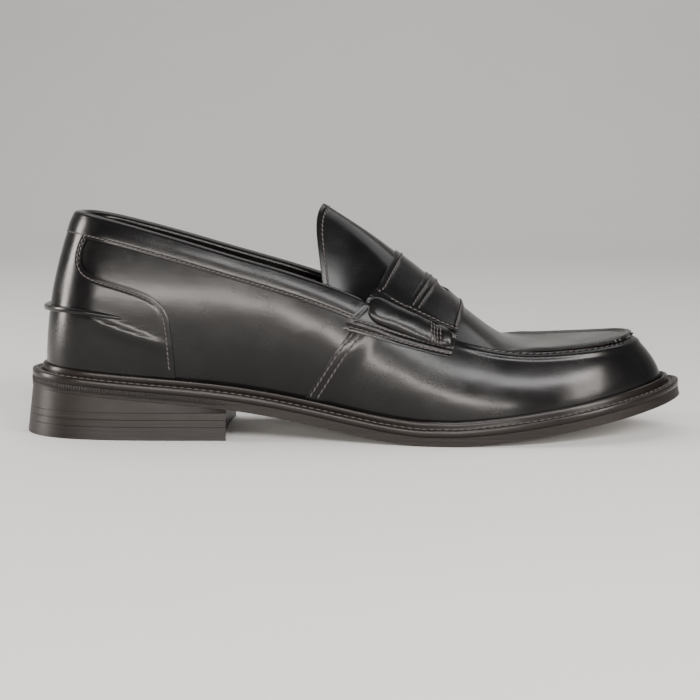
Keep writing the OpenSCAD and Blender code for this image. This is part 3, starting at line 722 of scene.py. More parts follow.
def upper_row(name, rows, *replaces):
    """Rows of the upper's common stitches."""
    sewn_row(name, rows, sizes().pitch, sizes().thread, replaces)


# ---------------------------------------------------------------- seam lines on the last

# How far in front of the side seam its rows of stitches run
SEAM_ROWS = (1.3 * MM, 4.4 * MM)


def seam_q(t):
    """The side seam between quarter and vamp slants forward as it rises."""
    return mix(6.2, 7.85, np.clip(t, 0, 1))


COUNTER_EDGE = np.array([
    (2.02, 0.97), (1.92, 0.89), (1.8, 0.82), (1.78, 0.755), (1.88, 0.7), (2.1, 0.662),
    (2.45, 0.64), (2.85, 0.628), (3.25, 0.615), (3.58, 0.593), (3.82, 0.55), (3.96, 0.48),
    (4.035, 0.38), (4.085, 0.27), (4.125, 0.15), (4.15, 0.02), (4.17, -0.12)])


def counter_edge(u):
    """Front edge of the counter, as (q, t), for u from 0 at the topline to 1 at the welt."""
    n = len(COUNTER_EDGE) - 3
    u = np.asarray(u, float)
    i = np.clip(np.floor(u * n).astype(int), 0, n - 1)
    f = (u * n - i)[..., None]
    a, b, c, d = (COUNTER_EDGE[i + m] for m in range(4))
    p = b + 0.5 * f * (c - a + f * (2 * a - 5 * b + 4 * c - d + f * (3 * (b - c) + d - a)))
    return p[..., 0], p[..., 1]


def strap_rear(g):
    s = np.abs(g - 2)
    return np.where(s < 0.82, 8.27 - 0.36 * s * s / 0.67,
                    mix(7.91, 7.2, np.clip((s - 0.82) / 0.47, 0, 1)))


def strap_front(g):
    return 9.7 - 0.25 * np.abs(g - 2) ** 2


def topline_t(q, down):
    return 1 - down / wall_height(q)


# ---------------------------------------------------------------- operators

HEEL_LONG = 92 * MM
HEEL_H = 22 * MM
HEEL_FLARE = 2.6 * MM
BREAST_HOLLOW = 2 * MM
TOP_PIECE_T = 6 * MM
LIFT_T = 3.2 * MM
# Pieces with level faces stay creased at slighter angles, in degrees, than the leather does
LEVEL_CREASE = 12


def breast_place():
    q = np.linspace(4, 6, 400)
    return float(np.interp(HEEL_LONG, edge(q)[:, 0], q))


def heel_outline(z, count=56):
    """Outline of the heel block at a height, from the back round to the back again."""
    end = breast_place()
    inset = -HEEL_FLARE * (1 - z / HEEL_H)
    q = np.linspace(0, end, count)
    outer = inset_edge(q, inset)
    inner = inset_edge(RING - q[::-1], inset)[:-1]
    across = np.linspace(0, 1, 18)[1:-1, None]
    breast = mix(outer[-1], inner[0], across)
    breast[:, 0] -= BREAST_HOLLOW * (4 * across[:, 0] * (1 - across[:, 0]))
    return np.concatenate([outer, breast, inner])


def heel_slab(name, low, high, top=None):
    """One layer of the heel: a disc laid on the outline, extruded up and drawn in."""
    outline, ring = heel_outline(low), heel_outline(high)
    obj = prism(name, on_last(xyz(outline[:, 0], outline[:, 1], low)), (0, 0, high - low))
    co = vertex_array(obj)
    upper = co[:, 2] > (low + high) / 2
    # The extruded vertices keep the order of the disc they came from
    co[upper] = on_last(xyz(ring[:, 0], ring[:, 1], high if top is None else top(ring[:, 0])))
    move_vertices(obj, co)
    turn_faces_out(obj)
    round_edges(obj, 0.1 * MM, 2, 40)
    return obj


class LOAFER_OT_heel(Operator):
    """Heel: rubber top piece, two lifts and the wedge under the seat"""
    bl_idname = "loafer.heel"
    bl_label = "Heel block"

    def execute(self, context):
        lift_mid = TOP_PIECE_T + LIFT_T
        lift_top = TOP_PIECE_T + 2 * LIFT_T
        rubber = edge_leather("top_piece_rubber", [c * 0.8 for c in colours().edge], 0.5)
        top_piece = heel_slab("top_piece", 0, TOP_PIECE_T - PLAY)
        self.drill(top_piece)
        finished(top_piece, rubber, ("heel_top_piece",), LEVEL_CREASE)
        for name, low, high, top in (("lift_lower", TOP_PIECE_T, lift_mid - PLAY, None),
                                     ("lift_upper", lift_mid, lift_top - PLAY, None),
                                     ("seat_wedge", lift_top, HEEL_H, lambda x: sole_z(x) - PLAY)):
            finished(heel_slab(name, low, high, top), look("edge_wax"),
                     (f"heel_{name}",), LEVEL_CREASE)
        return {"FINISHED"}

    def drill(self, top_piece):
        """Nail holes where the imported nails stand."""
        co = vertex_array(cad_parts["heel_nails"])
        centres = []
        for p in co:
            if all(math.dist(p[:2], c) > 5 * MM for c in centres):
                centres.append(tuple(p[:2]))
        for i, (x, y) in enumerate(centres):
            near = co[np.hypot(co[:, 0] - x, co[:, 1] - y) < 4 * MM]
            cx, cy = ((near.min(axis=0) + near.max(axis=0)) / 2)[:2]
            bpy.ops.object.select_all(action="DESELECT")
            bpy.ops.mesh.primitive_cylinder_add(vertices=24, radius=1.25 * MM, depth=6 * MM,
                                                location=(cx, cy, 0))
            cut_away(top_piece, named(f"drill_{i}"))


class LOAFER_OT_sole(Operator):
    """Outsole, with the marks wheeled into its edge round the heel"""
    bl_idname = "loafer.sole"
    bl_label = "Outsole"

    def execute(self, context):
        def lay(u, v):
            p = patch(u, v, edge)
            return xyz(p[:, 0], p[:, 1], deck_z(p[:, 0]) - PLAY)

        sole = laid_sheet("outsole_leather", 240, 60, lay)
        thicken(sole, OUTSOLE_T - PLAY)
        round_edges(sole, 0.5 * MM, 3, 60)
        co = vertex_array(sole)
        co[:, 2] = np.maximum(co[:, 2], 0)
        move_vertices(sole, co)
        finished(sole, look("edge_wax"), ("outsole",), LEVEL_CREASE)
        sole.data.materials.append(sole_leather("sole_grain", colours().sole))
        for face in sole.data.polygons:
            if face.normal.z < -0.7:
                face.material_index = 1
        self.wheel_marks()
        return {"FINISHED"}

    def wheel_marks(self):
        """Small upright ribs pressed in a row along the edge of the heel seat, with flat
        near-black bodies between them as painted shade of the notches.
        """
        end = breast_place() + 0.35
        q = np.linspace(-end, end, 900)
        p = inset_edge(q, 0)
        z = deck_z(p[:, 0]) - 2 * PLAY - sizes().wheel_mark / 2
        o = outward(q)
        points = xyz(p[:, 0], p[:, 1], z)
        normals = xyz(o[:, 0], o[:, 1], 0 * z)
        where, along, side, lift, pitch = path_frames(points, normals, sizes().wheel_pitch)
        ball, faces = ball_template(8, 6)
        fade = np.clip((end - np.abs(np.linspace(-end, end, len(where)))) / 0.7, 0.15, 1)
        blocks = []
        # The second copies, half a pitch on, are dark: painted shade between the ribs
        for shift, size in ((0.0, (0.64, 1.0, 0.8 * MM)), (0.5, (0.5, 0.95, 0.3 * MM))):
            place = where + along * pitch * shift
            mark = copies(ball, place, along, side, lift,
                          (pitch * size[0], sizes().wheel_mark * size[1], size[2]))
            centre = place[:, None, :]
            blocks.append((centre + (mark - centre) * fade[:, None, None], shift > 0))
        small_bodies("wheel_marks", blocks, faces, "edge_wax")


class LOAFER_OT_welt(Operator):
    """Storm welt with its raised rim, and the stitches that hold the sole"""
    bl_idname = "loafer.welt"
    bl_label = "Storm welt"

    # Section of the welt in millimetres: how far out from the upper and how high
    SECTION = ((7.6, 0.15), (7.75, 0.4), (7.78, 1.2), (7.78, 2.5), (7.6, 2.95), (7.2, 3.15),
               (6.5, 3.2), (6.3, 3.0), (6.1, 3.0), (5.9, 3.2), (4.5, 3.2), (4.3, 3.0),
               (4.1, 3.0), (3.9, 3.2), (3.4, 3.15), (3.1, 2.9), (2.95, 3.3), (2.9, 4.3),
               (2.75, 5.3), (2.35, 6.1), (1.75, 6.4), (1.1, 6.25), (0.65, 5.7), (0.45, 4.6),
               (0.4, 3.0), (0.4, 0.15))
    # The raised rim, which follows the swell of the wall, stands within this of the upper
    RIM_REACH = 3.4 * MM
    STITCH_REACH = 5.2 * MM
    STITCH_LEVEL = 2.95 * MM

    def execute(self, context):
        section = np.array(self.SECTION + self.SECTION[:1]) * MM
        run = np.linspace(0, 1, len(section))

        def lay(u, v):
            q = RING * u
            out = np.interp(v, run, section[:, 0])
            high = np.interp(v, run, section[:, 1])
            lean = np.where(out < self.RIM_REACH, wall_swell(q, high), 0)
            p = inset_edge(q, WELT_REACH - out - lean)
            return xyz(p[:, 0], p[:, 1], deck_z(p[:, 0]) + high)

        welt = laid_sheet("storm_welt", 420, len(section) - 1, lay)
        weld(welt)
        finished(welt, look("welt_wax"), ("welt",), 30)
        q = np.linspace(0, RING, 1500)
        p = inset_edge(q, WELT_REACH - self.STITCH_REACH)
        z = deck_z(p[:, 0]) + self.STITCH_LEVEL
        up = xyz(0 * q, 0 * q, 0 * q + 1)
        sewn_row("welt_stitches", [(xyz(p[:, 0], p[:, 1], z), up)], sizes().welt_pitch,
                 0.95 * MM, ("welt_stitching",), material="welt_thread")
        return {"FINISHED"}


def wall_swell(q, high):
    """How far the wall has swelled past its foot at a height above the deck."""
    foot, n = inset_edge(q, WELT_REACH), outward(q)
    p = wall(q, np.clip(high / wall_height(q), 0, 1))[:, :2]
    return np.maximum(((p - foot) * n).sum(axis=1), 0)


def leather_waves(points, seed, depth=0.16 * MM):
    return depth * soft_noise(points, 55, seed)


class LOAFER_OT_quarters(Operator):
    """Outer and inner quarters"""
    bl_idname = "loafer.quarters"
    bl_label = "Quarters"

    def execute(self, context):
        for name, node, inner in (("quarter_outer", "quarter_lateral", False),
                                  ("quarter_inner", "quarter_medial", True)):
            def lay(u, v):
                t = v * 0.985
                q = mix(0.01, seam_q(t) + 0.3, (1 - u) if inner else u)
                p, n = lifted(wall, RING - q if inner else q, t, 0)
                return p + n * leather_waves(p, 3)[:, None]

            leather_sheet(name, node, lay, (130, 70), sizes().leather, (0.3 * MM, 2))
        return {"FINISHED"}


class LOAFER_OT_vamp(Operator):
    """Vamp wall: it wraps the toe from side seam to side seam"""
    bl_idname = "loafer.vamp"
    bl_label = "Vamp wall"

    def execute(self, context):
        def lay(u, v):
            q = mix(seam_q(v), RING - seam_q(v), u)
            k = np.minimum(q, RING - q)
            from_seam = (k - seam_q(v)) * ROW_LENGTH
            lap = 0.85 * MM * (1 - ease(4 * MM, 13 * MM, from_seam))
            p, n = lifted(wall, q, v, lap)
            from_top = (1 - v) * wall_height(q)
            toe = ease(9.2, 10.2, k)
            roll = toe * (ridge(from_top - 2.7 * MM, 0.5 * MM, 1.3 * MM)
                          - ridge(from_top - 0.5 * MM, 0.35 * MM, 0.6 * MM))
            rows = sum(ridge(from_seam - row, -0.16 * MM, 0.5 * MM) for row in SEAM_ROWS)
            return p + n * (roll + rows + leather_waves(p, 9))[:, None]

        leather_sheet("vamp_leather", "vamp_wall", lay, (420, 110), sizes().leather,
                      (0.3 * MM, 2))
        return {"FINISHED"}


APRON_FROM = 9.05
# The apron's lip stands up only in front of the strap, from one place to another
LIP_FROM = 217 * MM
LIP_FULL = 233 * MM


class LOAFER_OT_apron(Operator):
    """Apron with its raised lip lapped over the vamp"""
    bl_idname = "loafer.apron"
    bl_label = "Apron"

    def execute(self, context):
        thickness = 0.78 * sizes().leather
        seam = rim(np.linspace(APRON_FROM, RING - APRON_FROM, 900))

        def lay(u, v):
            s = 0.5 + 0.5 * np.sin((v - 0.5) * math.pi)
            p = patch(1 - (1 - u) ** 1.3, s, lambda q: rim(q)[..., :2], APRON_FROM, 0.9)
            x, y = p[:, 0], p[:, 1]
            h = 0.4 * MM
            slope_x = (top_height(x + h, y) - top_height(x - h, y)) / (2 * h)
            slope_y = (top_height(x, y + h) - top_height(x, y - h)) / (2 * h)
            n = unit(xyz(-slope_x, -slope_y, 0 * x + 1))
            p = xyz(x, y, top_height(x, y))
            from_seam = distance_to(p, seam)
            toe = ease(LIP_FROM, LIP_FULL, x)
            lip = toe * (ridge(from_seam - 1.2 * MM, 0.75 * MM, 1.1 * MM)
                         + ridge(from_seam - 4.0 * MM, -0.3 * MM, 1.3 * MM))
            rise = toe * (thickness + 0.12 * MM)
            return p + n * (rise + lip + leather_waves(p, 5, 0.12 * MM))[:, None]

        leather_sheet("apron_leather", "apron", lay, (170, 110), thickness, (0.42 * MM, 3))
        q = np.linspace(9.95, RING - 9.95, 1200)
        row = lifted(wall, q, topline_t(q, 0.7 * MM), -0.3 * MM)
        sewn_row("apron_stitches", [row], 3.2 * MM, 0.4 * MM, ("apron_seam_thread",), holes=0)
        return {"FINISHED"}


class LOAFER_OT_counter(Operator):
    """Back counter laid over the quarters, and the strip that stands out round it"""
    bl_idname = "loafer.counter"
    bl_label = "Back counter"

    ROW_INSET = 2.1 * MM
    # The strip's section in millimetres, how far out and how high; its reach in rows of the
    # last; and its place up the wall, at the back and along the sides
    STRIP = ((0, -1.45), (1.4, -1.5), (2.6, -1.3), (3.1, -0.8), (3.2, 0.0), (3.1, 0.8),
             (2.5, 1.25), (1.2, 1.35), (0, 1.4))
    STRIP_REACH = 3.15
    STRIP_BACK = 0.396
    STRIP_RISE = 0.026
    # Height of the wall where the leather folds
    FOLD_TALL = 72 * MM

    def execute(self, context):
        u = np.linspace(0, 1, 500)
        q, t = counter_edge(u)
        border = np.concatenate([wall(q, t), wall(RING - q, t)])
        rq, rt = self.line_places()
        row = np.concatenate([wall(rq, rt), wall(RING - rq, rt)])

        def lay(a, b):
            eq, et = counter_edge(1 - b)
            p, n = lifted(wall, RING + eq * (2 * a - 1), et, 0.1 * MM)
            d = sizes().overlay * (0.75 + 0.25 * ease(0, 3 * MM, distance_to(p, border)))
            groove = ridge(distance_to(p, row), -0.2 * MM, 0.55 * MM)
            crease = self.fold(np.abs(eq * (2 * a - 1)), et)
            return p + n * (d + groove + crease + leather_waves(p, 3))[:, None]

        leather_sheet("counter_leather", "counter_overlay", lay, (150, 80), sizes().overlay,
                      (0.25 * MM, 2))
        rows = [lifted(wall, side, rt, sizes().overlay + 0.02 * MM) for side in (rq, RING - rq)]
        upper_row("counter_stitches", rows, "counter_thread")
        self.strip()
        return {"FINISHED"}

    def fold(self, k, t):
        """The leather folds over where the strip dies away, and runs on down and forward."""
        line = mix(0.415, 0.325, np.clip((k - 2.5) / 1.5, 0, 1))
        off = (t - line) * self.FOLD_TALL
        shown = ease(2.1, 2.9, k) * ease(4.25, 3.6, k)
        return shown * (ridge(off + 2.2 * MM, 0.95 * MM, 3.0 * MM)
                        - ridge(off - 0.3 * MM, 0.3 * MM, 0.9 * MM))

    def line_places(self):
        q, t = counter_edge(np.linspace(0.02, 0.93, 700))
        dq, dt = np.gradient(q), np.gradient(t)
        along, high = dq * ROW_LENGTH, dt * WALL_TALL
        inset = self.ROW_INSET / np.hypot(along, high)
        # Square to the edge, towards the heel and the ground
        return q + inset * high / ROW_LENGTH, t - inset * along / WALL_TALL

    def strip(self):
        """A thin strip that stands out round the back and dies away along the sides."""
        section = np.array(self.STRIP) * MM
        run = np.linspace(0, 1, len(section))

        def lay(u, v):
            s = 2 * u - 1
            fade = np.sqrt(np.clip(1 - np.abs(s) ** 5, 0.0, 1))
            out = np.interp(v, run, section[:, 0]) * fade
            high = np.interp(v, run, section[:, 1]) * (0.35 + 0.65 * fade)
            q = RING + self.STRIP_REACH * s
            t = self.STRIP_BACK + self.STRIP_RISE * ease(0, 0.8, np.abs(s))
            p, n = lifted(wall, q, t, sizes().overlay * 0.7)
            return p + n * out[:, None] + xyz(0 * out, 0 * out, high)

        piece = laid_sheet("ledge_strip", 160, len(section) - 1, lay)
        # Its ends are closed with one face each
        edit_all(piece, lambda: bpy.ops.mesh.select_non_manifold(extend=False),
                 bpy.ops.mesh.edge_face_add)
        turn_faces_out(piece)
        finished(piece, look("upper_calf"), ("heel_ledge_strip",))


BAND_END = 7.78
# Shares of the band's width up to the top of the outside, and up to the top of the inside
BAND_OUTER = 0.42
BAND_INNER = 0.64
# Distances of its two sides from the last's surface, and its rise between them
BAND_OUT = 0.85 * MM
BAND_IN = -4.9 * MM
BAND_RISE = 2.3 * MM


class LOAFER_OT_topline(Operator):
    """Folded band round the topline, with its row of stitches"""
    bl_idname = "loafer.topline"
    bl_label = "Topline band"

    def execute(self, context):
        depth = sizes().band + 1.3 * MM
        row_q = RING + np.linspace(-BAND_END + 0.1, BAND_END - 0.1, 1500)
        row_points, row_normals = lifted(wall, row_q, topline_t(row_q, sizes().band), 0.55 * MM)

        def lay(u, v):
            q = RING + BAND_END * (2 * u - 1)
            # Up the outside, over the top, and down the inside
            up = np.clip(v / BAND_OUTER, 0, 1)
            over = np.clip((v - BAND_OUTER) / (BAND_INNER - BAND_OUTER), 0, 1) * math.pi
            down = np.clip((v - BAND_INNER) / (1 - BAND_INNER), 0, 1)

            def by_side(outer, top, inner):
                return np.where(v <= BAND_OUTER, outer, np.where(v >= BAND_INNER, inner, top))

            drop = by_side(depth * (1 - up), 0, depth * down)
            puff = np.sin(np.clip(drop / depth, 0, 1) * math.pi) * 0.35 * MM
            outside = BAND_OUT - 0.35 * MM * (1 - np.minimum(up * 6, 1)) + puff
            inside = BAND_IN + 0.3 * MM * down - puff * 0.6
            middle_way = mix(BAND_IN, BAND_OUT, 0.5 + 0.5 * np.cos(over))
            across = by_side(outside, middle_way, inside)
            lift = by_side(0, BAND_RISE * np.sin(over), 0)
            # It flattens where the strap comes over it
            full = ease(7.76, 7.5, np.abs(q - RING))
            across = np.where(across > 0, across * full, across)
            lift = lift * full
            p, n = lifted(wall, q, topline_t(q, drop), across)
            top = unit(wall(q, 1.0) - wall(q, 0.97))
            groove = ridge(distance_to(p, row_points), -0.22 * MM, 0.55 * MM)
            return p + top * lift[:, None] + n * (groove + leather_waves(p, 11))[:, None]

        leather_sheet("topline_band", "topline_binding", lay, (300, 84), 0.6 * MM, (0.2 * MM, 2))
        upper_row("topline_stitches", [(row_points + row_normals * 0.2 * MM, row_normals)],
                  "topline_thread")
        return {"FINISHED"}


def tongue_back(v):
    return 6.75 + 0.07 * np.cos(2 * math.pi * v)


class LOAFER_OT_tongue(Operator):
    """Tongue that stands up behind the strap"""
    bl_idname = "loafer.tongue"
    bl_label = "Tongue"

    def execute(self, context):
        def lay(u, v):
            s = np.sin((2 * v - 1) * math.pi / 2) * 0.985
            k = mix(tongue_back(s), 9.0, u)
            p, n = lifted(tongue_surface, k, s, 0)
            from_back = (k - tongue_back(s)) * ROW_LENGTH
            hem = (ridge(from_back - 2.6 * MM, -0.18 * MM, 0.5 * MM)
                   + ridge(from_back - 1.2 * MM, 0.14 * MM, 0.9 * MM))
            return p + n * (hem + leather_waves(p, 7))[:, None]

        leather_sheet("tongue_leather", "tongue", lay, (110, 90), 0.75 * sizes().leather,
                      (0.35 * MM, 3))
        v = np.linspace(-0.95, 0.95, 800)
        row = lifted(tongue_surface, tongue_back(v) + 0.115, v, -0.05 * MM)
        upper_row("tongue_stitches", [row])
        return {"FINISHED"}


STRAP_SIDE = 2 - 0.71
# The turned-over ends run between these rows of the last
ROLL_REAR = 7.7
ROLL_FRONT = 9.36
STRAP_GAP = 0.1 * MM
SLOT_K = 9.22
SLOT_LONG = 24 * MM
SLOT_HIGH = 8 * MM
# Where the rows of stitches down the strap's sides run: from its ends, and across at its edges
SIDE_ROWS = (1.5 * MM, 4.4 * MM)
FACE_ROW = 0.885


def over_band(k, g):
    """The strap rises where it comes over the end of the topline band."""
    side = 2 - np.abs(g - 2)
    return 1.15 * MM * ease(8.3, 7.8, k) * ease(0.7, 0.84, side) * ease(1.32, 1.12, side)


def overlay_rear(g):
    return 8.88 - 0.56 * (g - 2) ** 2


def strap_place(w, s, rear, front_add=0.0):
    """Place (k, g) on the girth for w from rear to front and s across the strap."""
    sag = 0.07 * w * ease(0.8, 1.29, np.abs(s)) * np.sign(s)
    g = 2 + s - sag
    return mix(rear(g), strap_front(g) - front_add, w), g


class LOAFER_OT_strap(Operator):
    """Strap over the instep: base, slotted overlay, rolled ends and stitches"""
    bl_idname = "loafer.strap"
    bl_label = "Penny strap"

    def execute(self, context):
        t = sizes().overlay

        def lay_base(u, v):
            s = (2 * v - 1) * STRAP_SIDE
            k, g = strap_place(u, s, strap_rear)
            p, n = lifted(girth, k, g, STRAP_GAP + t + over_band(k, g))
            rear = (k - strap_rear(g)) * ROW_LENGTH
            front = (strap_front(g) - k) * ROW_LENGTH
            side = (STRAP_SIDE - np.abs(s)) * GIRTH_LENGTH
            from_fold = (np.abs(g - 2) - 0.955) * GIRTH_LENGTH
            lines = (ridge(rear - 2.4 * MM, -0.16 * MM, 0.5 * MM)
                     + ridge(front - 1.6 * MM, -0.12 * MM, 0.5 * MM)
                     + sum(ridge(side - row, -0.22 * MM, 0.5 * MM) for row in SIDE_ROWS)
                     + ridge(side - 2.9 * MM, 0.14 * MM, 0.7 * MM)
                     + ridge(from_fold, 0.55 * MM, 0.7 * MM)
                     + ridge(from_fold - 1.5 * MM, -0.6 * MM, 0.5 * MM)
                     + ridge((np.abs(s) - FACE_ROW) * GIRTH_LENGTH, -0.18 * MM, 0.5 * MM))
            return p + n * (lines + leather_waves(p, 21, 0.12 * MM))[:, None]

        leather_sheet("strap_under", "strap_base", lay_base, (80, 360), t, (0.3 * MM, 3))
        self.overlay(t)
        self.roll("strap_roll_outer", "strap_roll_lateral", False, t)
        self.roll("strap_roll_inner", "strap_roll_medial", True, t)
        self.stitches(t)
        return {"FINISHED"}

    def overlay(self, t):
        def lay(u, v):
            k, g = strap_place(u, (2 * v - 1) * 0.93, overlay_rear, 0.04)
            d = 2 * STRAP_GAP + 1.65 * t + over_band(k, g)
            p, n = lifted(girth, k, g, d)
            rear = (k - overlay_rear(g)) * ROW_LENGTH
            front = (strap_front(g) - k) * ROW_LENGTH
            across = np.abs(g - 2) * GIRTH_LENGTH
            slot = np.hypot((k - SLOT_K) * ROW_LENGTH / 1.9, across / 4.6)
            lines = (ridge(rear - 2.0 * MM, -0.18 * MM, 0.5 * MM)
                     + ridge(rear - 4.6 * MM, -0.18 * MM, 0.5 * MM)
                     + ridge(front - 1.9 * MM, -0.18 * MM, 0.5 * MM)
                     + ridge(across - FACE_ROW * GIRTH_LENGTH, -0.18 * MM, 0.5 * MM)
                     + ridge(slot, 0.3 * MM, 2.6 * MM))
            return p + n * (lines + leather_waves(p, 22, 0.1 * MM))[:, None]

        piece = laid_sheet("strap_face", 64, 260, lay)
        thicken(piece, t * 0.65)
        self.cut_slot(piece)
        round_edges(piece, 0.22 * MM, 2)
        finished(piece, look("upper_calf"), ("strap_overlay",))

    def cut_slot(self, piece):
        """An eye-shaped slot across the middle of the strap."""
        place, n = lifted(girth, np.array([SLOT_K]), np.array([2.0]), 0)
        tilt = math.atan2(n[0][0], n[0][2])
        along = np.array([math.cos(tilt), 0, -math.sin(tilt)])
        up = np.array([math.sin(tilt), 0, math.cos(tilt)])
        a = np.linspace(0, 2 * math.pi, 65)[:-1]
        lens_y = SLOT_LONG / 2 * np.cos(a)
        lens_x = SLOT_HIGH / 2 * np.sign(np.sin(a)) * (1 - np.cos(a) ** 2) ** 0.9
        low, high = -0.5 * MM, 9 * MM
        ring = on_last(place[0]) + lens_x[:, None] * along + low * up
        ring[:, 1] += lens_y
        cutter = prism("slot_cutter", ring, up * (high - low))
        turn_faces_out(cutter)
        cut_away(piece, cutter)

    def roll_surface(self, k, a, inner, t):
        """Point on the turned-over end at k and angle a round it, and its outward direction."""
        along = (k - ROLL_REAR) / (ROLL_FRONT - ROLL_REAR)
        end = np.sqrt(np.clip(1 - np.abs(2 * along - 1) ** 9, 0.0, 1))
        wrapped = ridge((k - 9.0) * ROW_LENGTH, 0.2, 1.6 * MM)
        full = (0.78 + 0.3 * np.sin(np.clip((along - 0.05) / 0.72, 0, 1) * math.pi)
                + 0.22 * ease(9.05, 9.2, k)) * (1 - wrapped)
        high = 0.5 + 0.5 * end * np.sin(a) * (1 - 0.4 * wrapped)
        place = mix(0.858 - 0.006 * along, 1.065, high)
        out = STRAP_GAP + t + over_band(k, place) + PLAY
        out = out + 3.6 * MM * full * (0.5 + 0.5 * end * np.cos(a))
        p, n = lifted(girth, k, 4 - place if inner else place, out)
        creases = soft_noise(p, 130, 13) * 0.25 * MM
        return p + n * (creases * (0.5 + 0.5 * np.cos(a)))[:, None], n

    def roll(self, name, node, inner, t):
        """The turned-over end of the strap, full and rounded, and pinched by its wrapping."""
        def lay(u, v):
            k = mix(ROLL_REAR, ROLL_FRONT, 1 - u if inner else u)
            return self.roll_surface(k, 2 * math.pi * v, inner, t)[0]

        piece = laid_sheet(name, 130, 40, lay)
        weld(piece)
        finished(piece, look("upper_calf"), (node,))

    def stitches(self, t):
        rows = []
        top = STRAP_GAP + t
        face = 2 * STRAP_GAP + 1.65 * t
        s = np.linspace(-0.86, 0.86, 1200)
        for edge_of, add, d in ((strap_rear, 0.105, top), (overlay_rear, 0.087, face),
                                (overlay_rear, 0.2, face), (strap_front, -0.083, face)):
            k = edge_of(2 + s) + add
            rows.append(lifted(girth, k, 2 + s, d + over_band(k, 2 + s)))
        for side in (-1, 1):
            for down in SIDE_ROWS:
                s = np.full(500, side * (STRAP_SIDE - down / GIRTH_LENGTH))
                k, g = strap_place(np.linspace(0.04, 0.97, 500), s, strap_rear)
                rows.append(lifted(girth, k, g, top + over_band(k, g)))
            k = np.linspace(8.12, 9.5, 500)
            g = np.full(500, 2 + side * FACE_ROW)
            on_face = ease(overlay_rear(g) - 0.02, overlay_rear(g) + 0.02, k)
            rows.append(lifted(girth, k, g, mix(top, face, on_face) + over_band(k, g)))
        upper_row("strap_stitches", rows, "strap_thread")
        wraps = []
        a = np.linspace(1.25, -1.25, 60)
        for inner in (False, True):
            for start in (8.9, 8.96, 9.02, 9.08):
                k = start + 0.04 * (1.25 - a) / 2.5
                wraps.append(self.roll_surface(k, a, inner, t))
        sewn_row("strap_wrapping", wraps, 2.1 * MM, sizes().thread)


class LOAFER_OT_seams(Operator):
    """Double row of stitches along each side seam"""
    bl_idname = "loafer.seams"
    bl_label = "Side seam stitches"

    def execute(self, context):
        rows = []
        t = np.linspace(0.125, 0.7, 500)
        for flip in (False, True):
            for add in SEAM_ROWS:
                q = seam_q(t) + add / ROW_LENGTH
                rows.append(lifted(wall, RING - q if flip else q, t, 0.8 * MM))
        sewn_row("seam_stitches", rows, sizes().seam_pitch, sizes().thread * 1.15,
                 ("vamp_seam_thread",), holes=1.25)
        return {"FINISHED"}


class LOAFER_OT_linings(Operator):
    """Linings of the quarters, vamp, apron and tongue, and the sock"""
    bl_idname = "loafer.linings"
    bl_label = "Linings and sock"

    # How far inside the last's surface the linings of the wall and of the apron begin
    WALL_DEPTH = 3.1 * MM
    APRON_DEPTH = 2.0 * MM
    # The sock's distance inside the upper, and its height over the outsole
    SOCK_INSET = 5.9 * MM
    SOCK_LEVEL = 6.5 * MM

    def execute(self, context):
        def quarter(u, v):
            q = RING + 7.7 * (2 * u - 1)
            return lifted(wall, q, mix(0.08, 0.99, v), -self.WALL_DEPTH)[0]

        def vamp(u, v):
            q = mix(7.72, RING - 7.72, u)
            return lifted(wall, q, mix(0.1, 0.92, v), -self.WALL_DEPTH)[0]

        def apron(u, v):
            k = mix(APRON_FROM, 15.2, u)
            s = np.sin((2 * v - 1) * math.pi / 2) * 0.88
            return lifted(middle, k, s, -self.APRON_DEPTH)[0]

        def tongue(u, v):
            s = np.sin((2 * v - 1) * math.pi / 2) * 0.93
            k = mix(tongue_back(s) + 0.05, 8.95, u)
            return lifted(tongue_surface, k, s, -sizes().leather - 2 * PLAY)[0]

        for name, node, grid, lay in (
                ("lining_quarter", "quarter_lining", (160, 40), quarter),
                ("lining_vamp", "vamp_lining", (120, 20), vamp),
                ("lining_apron", "apron_lining", (60, 30), apron),
                ("lining_tongue", "tongue_lining", (50, 50), tongue)):
            leather_sheet(name, node, lay, grid, 1.1 * MM, (0.2 * MM, 2), "lining_hide")
        self.sock()
        return {"FINISHED"}

    def sock(self):
        def lay(u, v):
            p = patch(u, v, lambda q: inset_edge(q, WELT_REACH + self.SOCK_INSET))
            cup = 0.5 * MM * np.abs(2 * v - 1) ** 6
            return xyz(p[:, 0], p[:, 1], deck_z(p[:, 0]) + self.SOCK_LEVEL + cup)

        leather_sheet("sock", "sock_liner", lay, (150, 40), 1.0 * MM, (0.3 * MM, 2, 60),
                      "lining_hide")


class LOAFER_OT_inside(Operator):
    """Materials of the pieces hidden in the bottom and the stiffeners"""
    bl_idname = "loafer.inside"
    bl_label = "Hidden pieces"

    def execute(self, context):
        matter = {
            "insole": ("insole_hide", (0.42, 0.26, 0.14), 0.55, 700, 0.0001),
            "insole_rib": ("rib_canvas", (0.6, 0.52, 0.4), 0.8, 1500, 0.0002),
            "cork_filler": ("ground_cork", (0.34, 0.2, 0.1), 0.85, 420, 0.0004, 0.0, 0.9),
            "shank": ("shank_steel", (0.5, 0.5, 0.52), 0.3, 900, 0.00003, 1.0),
            "counter_stiffener": ("counter_board", (0.6, 0.53, 0.4), 0.8, 900, 0.0001),
            "toe_puff": ("puff_cloth", (0.66, 0.6, 0.5), 0.85, 1300, 0.00015),
            "heel_nails": ("nail_brass", (0.5, 0.34, 0.12), 0.35, 1200, 0.00003, 1.0),
        }
        looks = {node: plain_matter(*values) for node, values in matter.items()}
        looks["inseam_thread"] = waxed_thread("linen_thread", (0.42, 0.36, 0.27))
        for node, material in looks.items():
            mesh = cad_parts[node].data
            mesh.materials.clear()
            mesh.materials.append(material)
        return {"FINISHED"}


